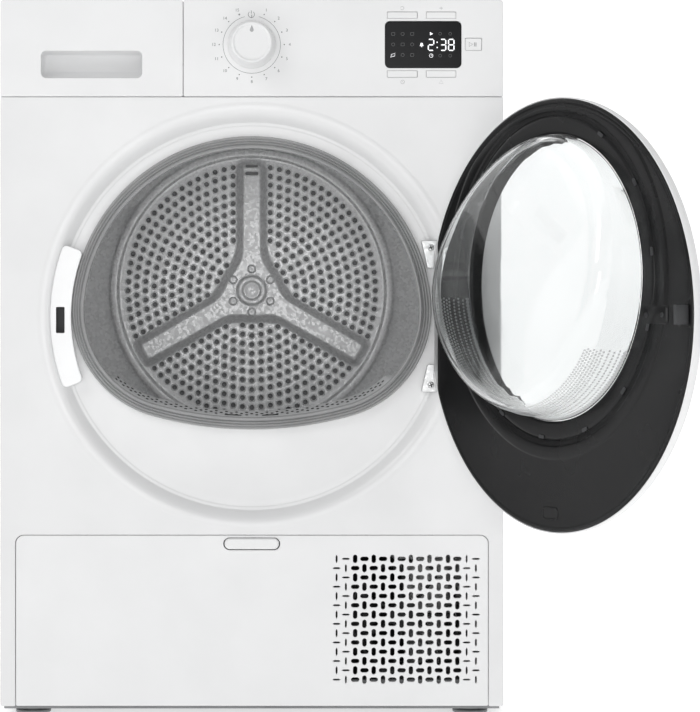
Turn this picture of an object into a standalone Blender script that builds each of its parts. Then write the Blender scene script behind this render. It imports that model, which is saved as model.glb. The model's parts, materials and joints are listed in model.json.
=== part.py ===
"""Front-loading heat-pump clothes dryer, door standing open. Metres, +Z up, front towards -Y.
The origin is the centre of the base pan's underside."""

import math

import bmesh
import bpy
from mathutils import Matrix, Vector

# ---------------------------------------------------------------- driving dimensions
HALF_W = 0.298          # half the cabinet width
Y_FRONT = -0.300        # plane of the front panel
Y_BACK = 0.300          # plane of the rear panel
Z_TOP = 0.841           # top of the worktop
Z_SEAM = 0.7263         # seam between front panel and console
FLOOR_Z = -0.008        # underside of the levelling feet
T = 0.002               # sheet thickness of the cabinet
DOOR_Z = 0.4664         # centre height of the door and of its recess
RECESS_R = 0.241        # outer radius of the door recess
RECESS_FLOOR_R = 0.229
RECESS_Y = -0.287       # floor of the door recess
DRUM_Z = 0.5044         # drum axis
DRUM_R = 0.284          # outside of the drum shell
DRUM_Y0, DRUM_Y1 = -0.246, 0.200
HINGE_X, HINGE_Y = 0.223, -0.308
DOOR_OPEN = math.radians(119.3)   # how far the door stands open at rest
DOOR_R = 0.238
LINER_R = 0.236
WINDOW_R = 0.1565
WINDOW_UP = 0.041       # window centre above door centre
GASKET_W = 0.0145
SEAL_R, SEAL_FILLET, SEAL_ARC = 0.2135, 0.130, 0.440   # outline of the loading opening
SEAL_BOTTOM = -0.134
DIAL_Z = 0.7879
FAN_X, FAN_Z = 0.184, 0.108
MOTOR_X, MOTOR_Z = 0.205, 0.118
BELT_Y = 0.150
PULLEY_R = 0.010
ROLLER_R = 0.018
IDLER_X, IDLER_Z, PIVOT_Z = 0.2558, 0.2526, 0.2050   # belt idler wheel, and its arm's pivot below it
ROLLER_A = math.radians(35)

for old in list(bpy.data.objects):
    bpy.data.objects.remove(old, do_unlink=True)

PARTS = bpy.data.collections.new("clothes_dryer")
CUTS = bpy.data.collections.new("cutters")
bpy.context.scene.collection.children.link(PARTS)
bpy.context.scene.collection.children.link(CUTS)


def material(name, colour, rough=0.4, metal=0.0, alpha=1.0, clear=0.0):
    m = bpy.data.materials.new(name)
    m.use_nodes = True
    s = m.node_tree.nodes["Principled BSDF"]
    s.inputs["Base Color"].default_value = (*colour, 1.0)
    s.inputs["Roughness"].default_value = rough
    s.inputs["Metallic"].default_value = metal
    s.inputs["Alpha"].default_value = alpha
    s.inputs["Transmission Weight"].default_value = clear
    return m


WHITE = ("white_enamel", (0.86, 0.86, 0.86), 0.35)
WHITE_PL = ("white_plastic", (0.87, 0.87, 0.87), 0.4)
BLACK_PL = ("black_plastic", (0.02, 0.02, 0.02), 0.2)
GREY_PL = ("grey_plastic", (0.35, 0.35, 0.34), 0.5)
RUBBER = ("grey_rubber", (0.12, 0.12, 0.12), 0.7)
STEEL = ("drum_steel", (0.6, 0.6, 0.58), 0.3, 1.0)
ZINC = ("zinc_steel", (0.55, 0.55, 0.55), 0.4, 1.0)
ALU = ("fin_aluminium", (0.7, 0.7, 0.7), 0.35, 1.0)
CLEAR = ("clear_plastic", (0.95, 0.95, 0.95), 0.05, 0.0, 0.3, 1.0)


def own(obj, look):
    """Gives the object its own material, named for the piece."""
    obj.data.materials.clear()
    obj.data.materials.append(material(obj.name + "_" + look[0], *look[1:]))
    return obj


def put(name, data, look, coll=None, parent=None):
    obj = bpy.data.objects.new(name, data)
    (coll or PARTS).objects.link(obj)
    if look:
        own(obj, look)
    if parent:
        obj.parent = parent
    return obj


def empty(name, matrix):
    e = bpy.data.objects.new(name, None)
    PARTS.objects.link(e)
    e.matrix_world = matrix
    return e


def as_cutter(obj):
    for c in list(obj.users_collection):
        c.objects.unlink(obj)
    CUTS.objects.link(obj)
    obj.hide_render = True
    obj.display_type = "WIRE"
    return obj


def cube_mesh(name, lo, hi):
    bm = bmesh.new()
    bmesh.ops.create_cube(bm, size=1.0)
    for v in bm.verts:
        v.co = Vector([(lo[i] + hi[i]) / 2 + v.co[i] * (hi[i] - lo[i]) for i in range(3)])
    me = bpy.data.meshes.new(name)
    bm.to_mesh(me)
    bm.free()
    return me


def box(name, lo, hi, look=None, bevel=0.0, segments=1, parent=None):
    obj = put(name, cube_mesh(name, lo, hi), look, parent=parent)
    if bevel:
        b = obj.modifiers.new("edges", "BEVEL")
        b.width, b.segments, b.limit_method = bevel, segments, "ANGLE"
    return obj


def rod(name, a, b, r, look=None, sides=16, parent=None, r2=None):
    """A cylinder or cone between two points."""
    a, b = Vector(a), Vector(b)
    bm = bmesh.new()
    bmesh.ops.create_cone(bm, cap_ends=True, segments=sides, radius1=r, radius2=r if r2 is None else r2,
                          depth=(b - a).length)
    turn = (b - a).to_track_quat("Z", "Y").to_matrix().to_4x4()
    bmesh.ops.transform(bm, matrix=Matrix.Translation((a + b) / 2) @ turn, verts=bm.verts)
    me = bpy.data.meshes.new(name)
    bm.to_mesh(me)
    bm.free()
    me.shade_smooth()
    me.set_sharp_from_angle(angle=math.radians(35))
    return put(name, me, look, parent=parent)


def turned(name, profile, look=None, steps=48, matrix=None, parent=None, closed=True):
    """A profile of (radius, height) turned about local Z. The profile runs down the outer side."""
    pts = list(profile)
    area = sum(pts[i][0] * pts[(i + 1) % len(pts)][1] - pts[(i + 1) % len(pts)][0] * pts[i][1] for i in range(len(pts)))
    if area > 0:
        pts.reverse()
    bm = bmesh.new()
    vs = [bm.verts.new((r, 0, h)) for r, h in pts]
    for i in range(len(vs) if closed else len(vs) - 1):
        bm.edges.new((vs[i], vs[(i + 1) % len(vs)]))
    me = bpy.data.meshes.new(name)
    bm.to_mesh(me)
    bm.free()
    obj = put(name, me, look, parent=parent)
    s = obj.modifiers.new("turn", "SCREW")
    s.axis, s.steps, s.render_steps = "Z", steps, steps
    s.use_merge_vertices, s.merge_threshold = True, 0.0001
    s.use_smooth_shade = True
    if matrix is not None:
        obj.matrix_local = matrix
    return obj


def solid_turned(name, profile, **more):
    """A turned solid whose profile starts and ends on the axis."""
    return turned(name, profile, closed=False, **more)


def plate(name, loops, half, look=None, matrix=None, parent=None):
    """A flat outline, with holes, extruded half each way along local Z, made a mesh."""
    cu = bpy.data.curves.new(name, "CURVE")
    cu.dimensions, cu.fill_mode, cu.extrude = "2D", "BOTH", half
    for loop in loops:
        sp = cu.splines.new("POLY")
        sp.points.add(len(loop) - 1)
        for p, (x, y) in zip(sp.points, loop):
            p.co = (x, y, 0, 1)
        sp.use_cyclic_u = True
    tmp = bpy.data.objects.new(name + "_curve", cu)
    bpy.context.scene.collection.objects.link(tmp)
    bpy.context.view_layer.update()
    me = bpy.data.meshes.new_from_object(tmp.evaluated_get(bpy.context.evaluated_depsgraph_get()))
    bpy.data.objects.remove(tmp)
    bm = bmesh.new()
    bm.from_mesh(me)
    bmesh.ops.remove_doubles(bm, verts=bm.verts, dist=1e-5)
    bmesh.ops.recalc_face_normals(bm, faces=bm.faces)
    bm.to_mesh(me)
    bm.free()
    me.name = name
    obj = put(name, me, look, parent=parent)
    if matrix is not None:
        obj.matrix_local = matrix
    return obj


def tube(name, points, r, look, resolution=2):
    """A hose along a smooth route."""
    cu = bpy.data.curves.new(name, "CURVE")
    cu.dimensions, cu.bevel_depth, cu.bevel_resolution, cu.use_fill_caps = "3D", r, resolution, True
    sp = cu.splines.new("POLY")
    sp.points.add(len(points) - 1)
    for p, q in zip(sp.points, points):
        p.co = (*q, 1)
    return put(name, cu, look)


def smooth_route(points, n):
    """Catmull-Rom points through the given ones."""
    pts = [Vector(p) for p in points]
    pts = [2 * pts[0] - pts[1]] + pts + [2 * pts[-1] - pts[-2]]
    out = []
    for i in range(1, len(pts) - 2):
        for k in range(n):
            t = k / n
            a, b, c, d = pts[i - 1], pts[i], pts[i + 1], pts[i + 2]
            out.append(0.5 * (2 * b + (c - a) * t + (2 * a - 5 * b + 4 * c - d) * t * t + (3 * b - a - 3 * c + d) * t ** 3))
    return out + [pts[-2]]


def join(obj, other, how="UNION"):
    """Joins or cuts with another object, which becomes a cutter."""
    as_cutter(other)
    m = obj.modifiers.new(how.lower() + str(len(obj.modifiers)), "BOOLEAN")
    m.operation, m.object, m.solver = how, other, "EXACT"
    return obj


def cut(obj, other):
    return join(obj, other, "DIFFERENCE")


def circle(r, cx=0.0, cy=0.0, n=48, start=0.0):
    return [(cx + r * math.cos(start + 2 * math.pi * i / n), cy + r * math.sin(start + 2 * math.pi * i / n)) for i in range(n)]


def rect(x0, y0, x1, y1, r=0.0, n=3):
    if not r:
        return [(x0, y0), (x1, y0), (x1, y1), (x0, y1)]
    out = []
    for cx, cy, a in ((x1 - r, y0 + r, -90), (x1 - r, y1 - r, 0), (x0 + r, y1 - r, 90), (x0 + r, y0 + r, 180)):
        out += [(cx + r * math.cos(math.radians(a + 90 * k / n)), cy + r * math.sin(math.radians(a + 90 * k / n))) for k in range(n + 1)]
    return out


def opening_outline(inset=0.0, n_top=36, n_side=7, n_low=8):
    """The loading opening, round at the top and flattened below, about the door centre."""
    cy = SEAL_BOTTOM + SEAL_ARC
    a, b = SEAL_R - SEAL_FILLET, SEAL_ARC - SEAL_FILLET
    fy = (cy * cy - b * b + a * a) / (2 * cy)
    fx = math.sqrt(a * a - fy * fy)
    top = math.atan2(fy, fx)
    low = math.atan2(fy - cy, fx)
    pts = [(math.cos(t) * (SEAL_R - inset), math.sin(t) * (SEAL_R - inset))
           for t in [top + (math.pi - 2 * top) * k / n_top for k in range(n_top + 1)]]
    left = [(-fx + (SEAL_FILLET - inset) * math.cos(t), fy + (SEAL_FILLET - inset) * math.sin(t))
            for t in [math.pi - top + (top - low) * k / n_side for k in range(1, n_side + 1)]]
    bottom = [((SEAL_ARC - inset) * math.cos(t), cy + (SEAL_ARC - inset) * math.sin(t))
              for t in [-math.pi - low + (2 * low + math.pi) * k / n_low for k in range(1, n_low)]]
    right = [(-x, y) for x, y in reversed(left)]
    return pts + left + bottom + right


# Local XY of a plate becomes world XZ, and its local +Z faces the front.
def facing_front(x, y, z):
    return Matrix.Translation((x, y, z)) @ Matrix.Rotation(math.pi / 2, 4, "X")


# A turned piece's local +Z points to the front.
FRONTWARD = facing_front
# A turned piece's local +Z points to the back.
def rearward(x, y, z):
    return Matrix.Translation((x, y, z)) @ Matrix.Rotation(-math.pi / 2, 4, "X")


def upward(x, y, z):
    return Matrix.Translation((x, y, z))


# ---------------------------------------------------------------- base, feet and cabinet
base = box("base_pan", (-0.2945, -0.2885, 0.0), (0.2945, 0.2955, 0.034), GREY_PL)
cut(base, box("base_hollow", (-0.286, -0.280, 0.006), (0.286, 0.288, 0.06)))
for name, x, y in (("foot_front_left", -0.262, -0.262), ("foot_front_right", 0.262, -0.262),
                   ("foot_rear_left", -0.262, 0.262), ("foot_rear_right", 0.262, 0.262)):
    solid_turned(name, [(0, -0.0003), (0.009, -0.0003), (0.0105, -0.0025), (0.020, -0.004), (0.021, -0.008), (0, -0.008)],
                 look=RUBBER, steps=12, matrix=upward(x, y, 0))

for name, s in (("side_panel_left", -1), ("side_panel_right", 1)):
    side = box(name, (min(s * HALF_W, s * (HALF_W - T)), -0.2975, 0.0045), (max(s * HALF_W, s * (HALF_W - T)), 0.2965, 0.8245), WHITE)
    cut(side, box(name + "_corner", (min(s * 0.28, s * 0.31), -0.31, Z_SEAM - 0.0002), (max(s * 0.28, s * 0.31), -0.2885, 0.85)))
    for k, zz in enumerate((0.0045, 0.8085)):
        lo, hi = (s * 0.2975, s * 0.289) if s < 0 else (s * 0.289, s * 0.2975)
        join(side, box(name + f"_fold{k}", (lo, -0.284 if k == 0 else -0.255, 0.0365 if k == 0 else zz),
                       (hi, 0.290, 0.0385 if k == 0 else zz + 0.002)))

rear = box("rear_panel", (-0.2975, 0.2975, 0.0045), (0.2975, Y_BACK, 0.8245), WHITE)
for k in range(6):
    cut(rear, box(f"rear_slot{k}", (0.12, 0.28, 0.075 + 0.017 * k), (0.25, 0.32, 0.082 + 0.017 * k)))
cut(rear, box("inlet_hole", (-0.235, 0.28, 0.745), (-0.195, 0.32, 0.775)))
box("mains_inlet", (-0.2345, 0.283, 0.7455), (-0.1955, 0.3015, 0.7745), BLACK_PL, bevel=0.003)

top = box("top_panel", (-HALF_W, -0.2865, 0.8255), (HALF_W, Y_BACK + 0.002, Z_TOP), WHITE_PL, bevel=0.004, segments=2)
cut(top, box("top_hollow", (-0.292, -0.30, 0.80), (0.292, 0.294, 0.8365)))

# Front panel: sheet with the pressed door recess, the loading opening and the flap cut-out.
front = plate("front_panel", [rect(-HALF_W, 0.0045 - DOOR_Z, HALF_W, Z_SEAM - 0.0004 - DOOR_Z), circle(0.2435, n=64)], T / 2,
              WHITE, facing_front(0, Y_FRONT + T / 2, DOOR_Z))
depth = RECESS_Y - Y_FRONT
dish = turned("recess_dish", [(0.2470, -0.0004), (RECESS_R, -0.0008), (RECESS_FLOOR_R, -depth), (0.100, -depth),
                              (0.100, -depth - T), (RECESS_FLOOR_R - 0.001, -depth - T), (RECESS_R - 0.001, -T - 0.0004), (0.2450, -T + 0.0005), (0.2470, -T + 0.0004)],
              steps=64, matrix=facing_front(0, Y_FRONT, DOOR_Z))
join(front, dish)
cut(front, plate("opening_cut", [opening_outline(0.004)], 0.03, None, facing_front(0, -0.285, DOOR_Z)))
cut(front, box("flap_cut", (-0.2800, -0.32, -0.02), (0.2805, -0.28, 0.2073)))
for s in (-1, 1):
    hole = [(0.2081, s * 0.0566), (0.2259, s * 0.0566), (0.2259, s * 0.0904), (0.2005, s * 0.0904)]
    cut(front, plate(f"hinge_cut{s}", [hole if s > 0 else hole[::-1]], 0.02, None, facing_front(0, -0.2900, DOOR_Z)))
cut(front, box("latch_cut", (-0.2317, -0.31, 0.4466), (-0.2217, -0.27, 0.4774)))
for s in (-1, 1):
    x = sorted((s * 0.2955, s * 0.2935))
    join(front, box(f"front_fold{s}", (x[0], -0.2990, 0.036), (x[1], -0.2860, 0.720)))

for m in front.modifiers:
    if m.type == "BOOLEAN":
        m.solver = "MANIFOLD"

# Console fascia with its openings.
console = plate("console_panel", [
    rect(-0.0808, Z_SEAM + 0.0004 - DIAL_Z, HALF_W, Z_TOP - DIAL_Z, 0.002, 2),
    circle(0.0240, n=24),
    rect(0.1575, 0.7600 - DIAL_Z, 0.2483, 0.8159 - DIAL_Z),
    rect(0.1600, 0.8188 - DIAL_Z, 0.1964, 0.8270 - DIAL_Z),
    rect(0.2062, 0.8188 - DIAL_Z, 0.2420, 0.8270 - DIAL_Z),
    rect(0.1600, 0.7488 - DIAL_Z, 0.1964, 0.7574 - DIAL_Z),
    rect(0.2062, 0.7488 - DIAL_Z, 0.2420, 0.7574 - DIAL_Z),
    rect(0.2524, 0.7807 - DIAL_Z, 0.2726, 0.7959 - DIAL_Z),
], 0.0015, WHITE_PL, facing_front(0, -0.3005, DIAL_Z))
join(console, box("console_top", (-0.0806, -0.300, Z_TOP - 0.004), (0.2978, -0.2873, Z_TOP - 0.0006)))
join(console, box("console_low", (-0.0806, -0.300, Z_SEAM + 0.001), (0.2950, -0.2700, Z_SEAM + 0.004)))
join(console, box("console_side", (-0.0806, -0.300, Z_SEAM + 0.0012), (-0.0776, -0.2700, Z_TOP - 0.0008 - 0.016)))
join(console, box("console_end", (0.2945, -0.300, Z_SEAM + 0.0012), (0.2978, -0.2890, Z_TOP - 0.0008)))
box("display_window", (0.1579, -0.3017, 0.7604), (0.2479, -0.2955, 0.8155), BLACK_PL, bevel=0.0015)
box("control_board", (0.020, -0.288, 0.735), (0.288, -0.2855, 0.8215), GREY_PL)

# ---------------------------------------------------------------- water tank drawer
tank_front = box("tank_front", (-0.2978, -0.3020, Z_SEAM + 0.0004), (-0.0814, -0.2895, Z_TOP), WHITE_PL, bevel=0.001)
join(tank_front, box("tank_pocket", (-0.2550, -0.2950, 0.7420), (-0.1240, -0.2700, 0.7868)))
cut(tank_front, box("tank_grip", (-0.2494, -0.31, 0.7486), (-0.1298, -0.2735, 0.7806)))
tank_outline = [(-0.2860, 0.7360), (-0.2050, 0.7360), (-0.1500, 0.7600), (-0.1020, 0.7880), (-0.1020, 0.8220), (-0.2860, 0.8220)]
hollow = [(-0.2840, 0.7380), (-0.2055, 0.7380), (-0.1508, 0.7618), (-0.1040, 0.7891), (-0.1040, 0.8200), (-0.2840, 0.8200)]
tank = plate("water_tank", [tank_outline], 0.252, WHITE_PL, facing_front(0, -0.0170, 0))
cut(tank, plate("tank_hollow", [hollow], 0.250, None, facing_front(0, -0.0170, 0)))
cut(tank, box("tank_port", (-0.20, 0.213, 0.80), (-0.17, 0.2334, 0.84)))
tray = plate("tank_tray", [[(-0.2885, 0.7330), (-0.2043, 0.7330), (-0.1485, 0.7572), (-0.1000, 0.7856), (-0.0985, 0.7830),
                            (-0.1470, 0.7547), (-0.2035, 0.7303), (-0.2885, 0.7303)]], 0.257, GREY_PL, facing_front(0, -0.0020, 0))

# ---------------------------------------------------------------- dial and keys
solid_turned("program_dial", [(0, 0.0250), (0.0205, 0.0250), (0.0242, 0.0232), (0.0285, 0.0015), (0.0285, 0.0004), (0.0225, 0.0004),
                              (0.0225, -0.0060), (0.0030, -0.0060), (0.0030, -0.0130), (0, -0.0130)],
             look=WHITE_PL, steps=24, matrix=facing_front(0, -0.3020, DIAL_Z))
for name, x0, x1, z0, z1 in (("option_key_1", 0.1604, 0.1960, 0.8192, 0.8266), ("option_key_2", 0.2066, 0.2416, 0.8192, 0.8266),
                             ("option_key_3", 0.1604, 0.1960, 0.7492, 0.7570), ("option_key_4", 0.2066, 0.2416, 0.7492, 0.7570),
                             ("start_key", 0.2528, 0.2722, 0.7811, 0.7955)):
    box(name, (x0, -0.3026, z0), (x1, -0.2920, z1), WHITE_PL, bevel=0.0008)

# ---------------------------------------------------------------- front bulkhead, seal and filter
bulk = plate("front_bulkhead", [rect(-0.2900, 0.2150 - DOOR_Z, 0.2900, 0.7240 - DOOR_Z), opening_outline(0.0075)], 0.0015, GREY_PL,
             facing_front(0, -0.2600, DOOR_Z))
join(bulk, plate("throat", [opening_outline(0.0045), opening_outline(0.0075)], 0.0125, None, facing_front(0, -0.2715, DOOR_Z)))
join(bulk, turned("collar", [(0.2790, 0.0), (0.2790, -0.0100), (0.2765, -0.0100), (0.2765, 0.0)], steps=64,
                  matrix=facing_front(0, -0.2595, DRUM_Z)))
for s in (-1, 1):
    c = Vector((s * (DRUM_R + ROLLER_R + 0.0005) * math.sin(ROLLER_A), 0, DRUM_Z - (DRUM_R + ROLLER_R + 0.0005) * math.cos(ROLLER_A)))
    join(bulk, rod(f"axle{s}", (c.x, -0.2605, c.z), (c.x, -0.2050, c.z), 0.0040, sides=12))
cut(bulk, box("filter_slot", (-0.1180, -0.2822, 0.300), (0.1180, -0.2640, 0.3700)))

gasket = plate("door_gasket", [opening_outline(0.0), opening_outline(GASKET_W)], 0.0060, RUBBER, facing_front(0, -0.2934, DOOR_Z))
b = gasket.modifiers.new("lip", "BEVEL")
b.width, b.segments, b.limit_method, b.angle_limit = 0.003, 1, "ANGLE", math.radians(60)

# Lint filter: curved cap over a flat pocket, lifts straight out.
cy = SEAL_BOTTOM + SEAL_ARC
arc = [math.radians(-90 + d) for d in (-15.5, -10.5, -5.3, 0, 5.3, 10.5, 15.5)]
cap = [((SEAL_ARC - 0.0120) * math.cos(a), cy + (SEAL_ARC - 0.0120) * math.sin(a)) for a in arc]
cap += [((SEAL_ARC - 0.0080) * math.cos(a), cy + (SEAL_ARC - 0.0080) * math.sin(a)) for a in reversed(arc)]
lint = plate("lint_filter", [cap], 0.0110, GREY_PL, facing_front(0, -0.2735, DOOR_Z))
pocket = plate("filter_pocket", [rect(-0.1150, 0.1900 - DOOR_Z, 0.1150, 0.3430 - DOOR_Z), rect(-0.1080, 0.1970 - DOOR_Z, -0.0030, 0.3250 - DOOR_Z),
                                 rect(0.0030, 0.1970 - DOOR_Z, 0.1080, 0.3250 - DOOR_Z)], 0.0060, None, facing_front(0, -0.2731, DOOR_Z))
join(lint, pocket)

# ---------------------------------------------------------------- drum
drum = turned("drum_shell", [(DRUM_R, 0.2230), (DRUM_R, -0.2228), (DRUM_R - 0.0012, -0.2228), (DRUM_R - 0.0012, 0.2218),
                             (0.2760, 0.2218), (0.2760, 0.2230)],
              STEEL, 48, facing_front(0, (DRUM_Y0 + DRUM_Y1) / 2, DRUM_Z))
back = turned("drum_back", [(0.0, 0.0225), (0.0105, 0.0225), (0.0115, 0.0150), (0.0210, 0.0140), (0.0400, 0.0120), (0.0530, 0.0045),
                            (0.1860, 0.0045), (0.1900, 0.0075), (0.1970, 0.0075), (0.2010, 0.0),
                            (0.2812, 0.0), (0.2812, -0.0012), (0.2000, -0.0012), (0.1960, 0.0060),
                            (0.1910, 0.0060), (0.1865, 0.0030), (0.0545, 0.0030), (0.0120, 0.0), (0.0100, -0.0400), (0.0, -0.0400)],
              STEEL, 40, facing_front(0, DRUM_Y1 - 0.0025, DRUM_Z), closed=False)
for k in range(3):
    a = math.radians(90 + 120 * k)
    arm = box(f"star{k}", (0.010, -0.0105, -0.0010), (0.1760, 0.0105, 0.0125), bevel=0.004)
    arm.matrix_local = facing_front(0, DRUM_Y1 - 0.0025, DRUM_Z) @ Matrix.Rotation(a, 4, "Z") @ Matrix.Translation((0, 0, 0.0042))
    arm.scale = (1, 1, 1)
    join(back, arm)
for k in range(3):
    a = math.radians(30 + 120 * k)
    c = Vector((math.cos(a), 0, math.sin(a)))
    lift = plate(f"drum_lifter_{k + 1}", [[(-0.030, 0.0), (0.030, 0.0), (0.022, 0.030), (0.010, 0.043), (-0.010, 0.043), (-0.022, 0.030)]],
                 0.185, GREY_PL)
    # Local Y of the outline points to the drum axis, and local Z along it.
    inward = Vector((-c.x, 0, -c.z))
    side_v = inward.cross(Vector((0, -1, 0)))
    base_p = Vector((0, -0.020, DRUM_Z)) + c * 0.2801
    m = Matrix((( side_v.x, inward.x, 0, base_p.x), (side_v.y, inward.y, -1, base_p.y), (side_v.z, inward.z, 0, base_p.z), (0, 0, 0, 1)))
    lift.matrix_local = m

# Rear duct: a dish behind the drum that carries the shaft's bearing.
turned("rear_duct", [(0.2650, 0.0130), (0.2650, -0.0200), (0.2600, -0.0540), (0.0320, -0.0540), (0.0300, -0.0100), (0.0170, -0.0080), (0.0106, -0.0080),
                     (0.0106, -0.0280), (0.0150, -0.0280), (0.0150, -0.0120), (0.0260, -0.0120), (0.0280, -0.0560), (0.2615, -0.0560),
                     (0.2670, -0.0200), (0.2670, 0.0130)], GREY_PL, 28, facing_front(0, 0.2380, DRUM_Z))

# ---------------------------------------------------------------- drive
cx, cz = (DRUM_R + ROLLER_R + 0.0005) * math.sin(ROLLER_A), DRUM_Z - (DRUM_R + ROLLER_R + 0.0005) * math.cos(ROLLER_A)
for name, s in (("support_roller_left", -1), ("support_roller_right", 1)):
    turned(name, [(ROLLER_R, 0.009), (ROLLER_R, -0.009), (0.0044, -0.009), (0.0044, 0.009)], RUBBER, 24,
           facing_front(s * cx, -0.225, cz))


def belt_outline(grow):
    """The belt's run round the drum and the motor pulley, as one convex outline."""
    ax, az, ar = 0.0, DRUM_Z, DRUM_R + 0.0009 + grow
    bx, bz, br = MOTOR_X, MOTOR_Z, PULLEY_R + 0.0004 + grow
    d = math.hypot(bx - ax, bz - az)
    aim = math.atan2(bz - az, bx - ax)
    off = math.acos((ar - br) / d)
    big = [aim + off + (2 * math.pi - 2 * off) * k / 56 for k in range(57)]
    small = [aim - off + 2 * off * k / 8 for k in range(9)]
    return [(ax + ar * math.cos(t), az + ar * math.sin(t)) for t in big] + [(bx + br * math.cos(t), bz + br * math.sin(t)) for t in small]


plate("drive_belt", [belt_outline(0.0014), belt_outline(0.0)], 0.0045, RUBBER, facing_front(0, BELT_Y, 0))
motor = rod("drive_motor", (MOTOR_X, 0.010, MOTOR_Z), (MOTOR_X, 0.125, MOTOR_Z), 0.056, ZINC, 24)
join(motor, box("motor_foot", (MOTOR_X - 0.045, 0.030, 0.0065), (MOTOR_X + 0.045, 0.105, 0.080)))
cut(motor, rod("motor_bore", (MOTOR_X, -0.01, MOTOR_Z), (MOTOR_X, 0.15, MOTOR_Z), 0.0066, sides=12))
solid_turned("motor_shaft", [(0, 0.1490), (0.0060, 0.1490), (0.0060, -0.0100), (0.0060, -0.0104), (0.0118, -0.0106), (0.0118, -0.0126),
                             (PULLEY_R, -0.0128), (PULLEY_R, -0.0286), (0.0118, -0.0288), (0.0118, -0.0310), (0.0060, -0.0312),
                             (0.0060, -0.0660), (0, -0.0660)],
             look=ZINC, steps=12, matrix=facing_front(MOTOR_X, BELT_Y - 0.0207, MOTOR_Z))


def bladed(name, centre, r_hub, r_tip, y0, y1, blades, look, bore, skew):
    """A fan: a hub with straight blades, its bore pressed on a shaft."""
    fan = rod(name, (centre[0], y0, centre[1]), (centre[0], y1, centre[1]), r_hub, look, 20)
    for k in range(blades):
        blade = box(f"{name}_blade{k}", (r_hub - 0.003, -0.0012, y0 + 0.002), (r_tip, 0.0012, y1 - 0.002))
        blade.matrix_local = (Matrix.Translation((centre[0], 0, centre[1])) @ Matrix.Rotation(2 * math.pi * k / blades, 4, "Y")
                              @ Matrix.Rotation(-math.pi / 2, 4, "X") @ Matrix.Rotation(skew, 4, "X"))
        if skew:
            mid = (y0 + y1) / 2
            blade.matrix_local = (Matrix.Translation((centre[0], mid, centre[1])) @ Matrix.Rotation(2 * math.pi * k / blades, 4, "Y")
                                  @ Matrix.Rotation(-math.pi / 2, 4, "X") @ Matrix.Rotation(skew, 4, "X") @ Matrix.Translation((0, 0, -mid)))
        join(fan, blade)
    if bore:
        cut(fan, rod(name + "_bore", (centre[0], y0 - 0.01, centre[1]), (centre[0], y1 + 0.01, centre[1]), bore, sides=16))
    return fan


bladed("blower_fan", (MOTOR_X, MOTOR_Z), 0.020, 0.066, 0.1615, 0.1890, 8, BLACK_PL, 0.0063, 0.0)

idler = rod("belt_idler", (IDLER_X, 0.1440, IDLER_Z), (IDLER_X, 0.1560, IDLER_Z), 0.0120, GREY_PL, 20)
join(idler, box("idler_arm", (IDLER_X - 0.006, 0.1570, PIVOT_Z), (IDLER_X + 0.006, 0.1600, IDLER_Z + 0.005)))
join(idler, rod("idler_pin", (IDLER_X, 0.1500, IDLER_Z), (IDLER_X, 0.1595, IDLER_Z), 0.0050, sides=12))
join(idler, rod("idler_pivot", (IDLER_X, 0.1575, PIVOT_Z), (IDLER_X, 0.1700, PIVOT_Z), 0.0080, sides=16))
tension = rod("idler_bracket", (IDLER_X, 0.1704, PIVOT_Z), (IDLER_X, 0.2000, PIVOT_Z), 0.0060, ZINC, 16)
join(tension, box("idler_post", (IDLER_X - 0.010, 0.1905, 0.0065), (IDLER_X + 0.010, 0.1985, PIVOT_Z + 0.004)))

# ---------------------------------------------------------------- heat pump and condensate
for name, y0, y1 in (("evaporator", -0.235, -0.085), ("condenser", -0.065, 0.115)):
    hx = box(name, (-0.262, y0, 0.0345), (0.020, y1, 0.180), ALU)
    for k in range(5):
        cut(hx, box(f"{name}_gap{k}", (-0.245 + 0.052 * k, y0 - 0.01, 0.050), (-0.215 + 0.052 * k, y1 + 0.01, 0.30)))
solid_turned("compressor", [(0, 0.165), (0.035, 0.162), (0.056, 0.150), (0.064, 0.130), (0.064, 0.030), (0.056, 0.012), (0.050, 0.0), (0, 0.0)],
             look=BLACK_PL, steps=20, matrix=upward(0.130, -0.115, 0.0065))
pump = box("condensate_pump", (-0.262, 0.160, 0.0065), (-0.190, 0.230, 0.070), GREY_PL, bevel=0.004)
join(pump, rod("pump_spigot", (-0.226, 0.195, 0.060), (-0.226, 0.195, 0.0900), 0.0060, sides=12))
tube("drain_hose", smooth_route([(-0.226, 0.195, 0.0912), (-0.226, 0.195, 0.1200), (-0.229, 0.198, 0.160), (-0.262, 0.235, 0.260), (-0.278, 0.268, 0.420), (-0.279, 0.272, 0.600),
                                 (-0.276, 0.270, 0.720), (-0.250, 0.268, 0.795), (-0.2345, 0.2655, 0.815)], 2), 0.0055, GREY_PL)
fanmount = turned("cooling_fan_shroud", [(0.0660, 0.010), (0.0660, -0.014), (0.0640, -0.014), (0.0640, 0.010)], BLACK_PL, 32,
                  facing_front(FAN_X, -0.262, FAN_Z))
join(fanmount, rod("fan_motor", (FAN_X, -0.2440, FAN_Z), (FAN_X, -0.2260, FAN_Z), 0.0180, sides=20))
for k in range(3):
    a = math.radians(90 + 120 * k)
    strut = box(f"strut{k}", (0.012, -0.003, -0.0190), (0.0652, 0.003, -0.0120))
    strut.matrix_local = facing_front(FAN_X, -0.2360 - 0.0265, FAN_Z) @ Matrix.Rotation(a, 4, "Z")
    join(fanmount, strut)
join(fanmount, box("fan_stand", (FAN_X - 0.030, -0.2740, 0.0065), (FAN_X + 0.030, -0.2500, 0.0440)))
cut(fanmount, rod("fan_bore_cut", (FAN_X, -0.30, FAN_Z), (FAN_X, -0.2485, FAN_Z), 0.0640, sides=32))
fan = bladed("cooling_fan", (FAN_X, FAN_Z), 0.018, 0.0600, -0.2700, -0.2520, 7, BLACK_PL, 0.0, math.radians(0))

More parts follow.
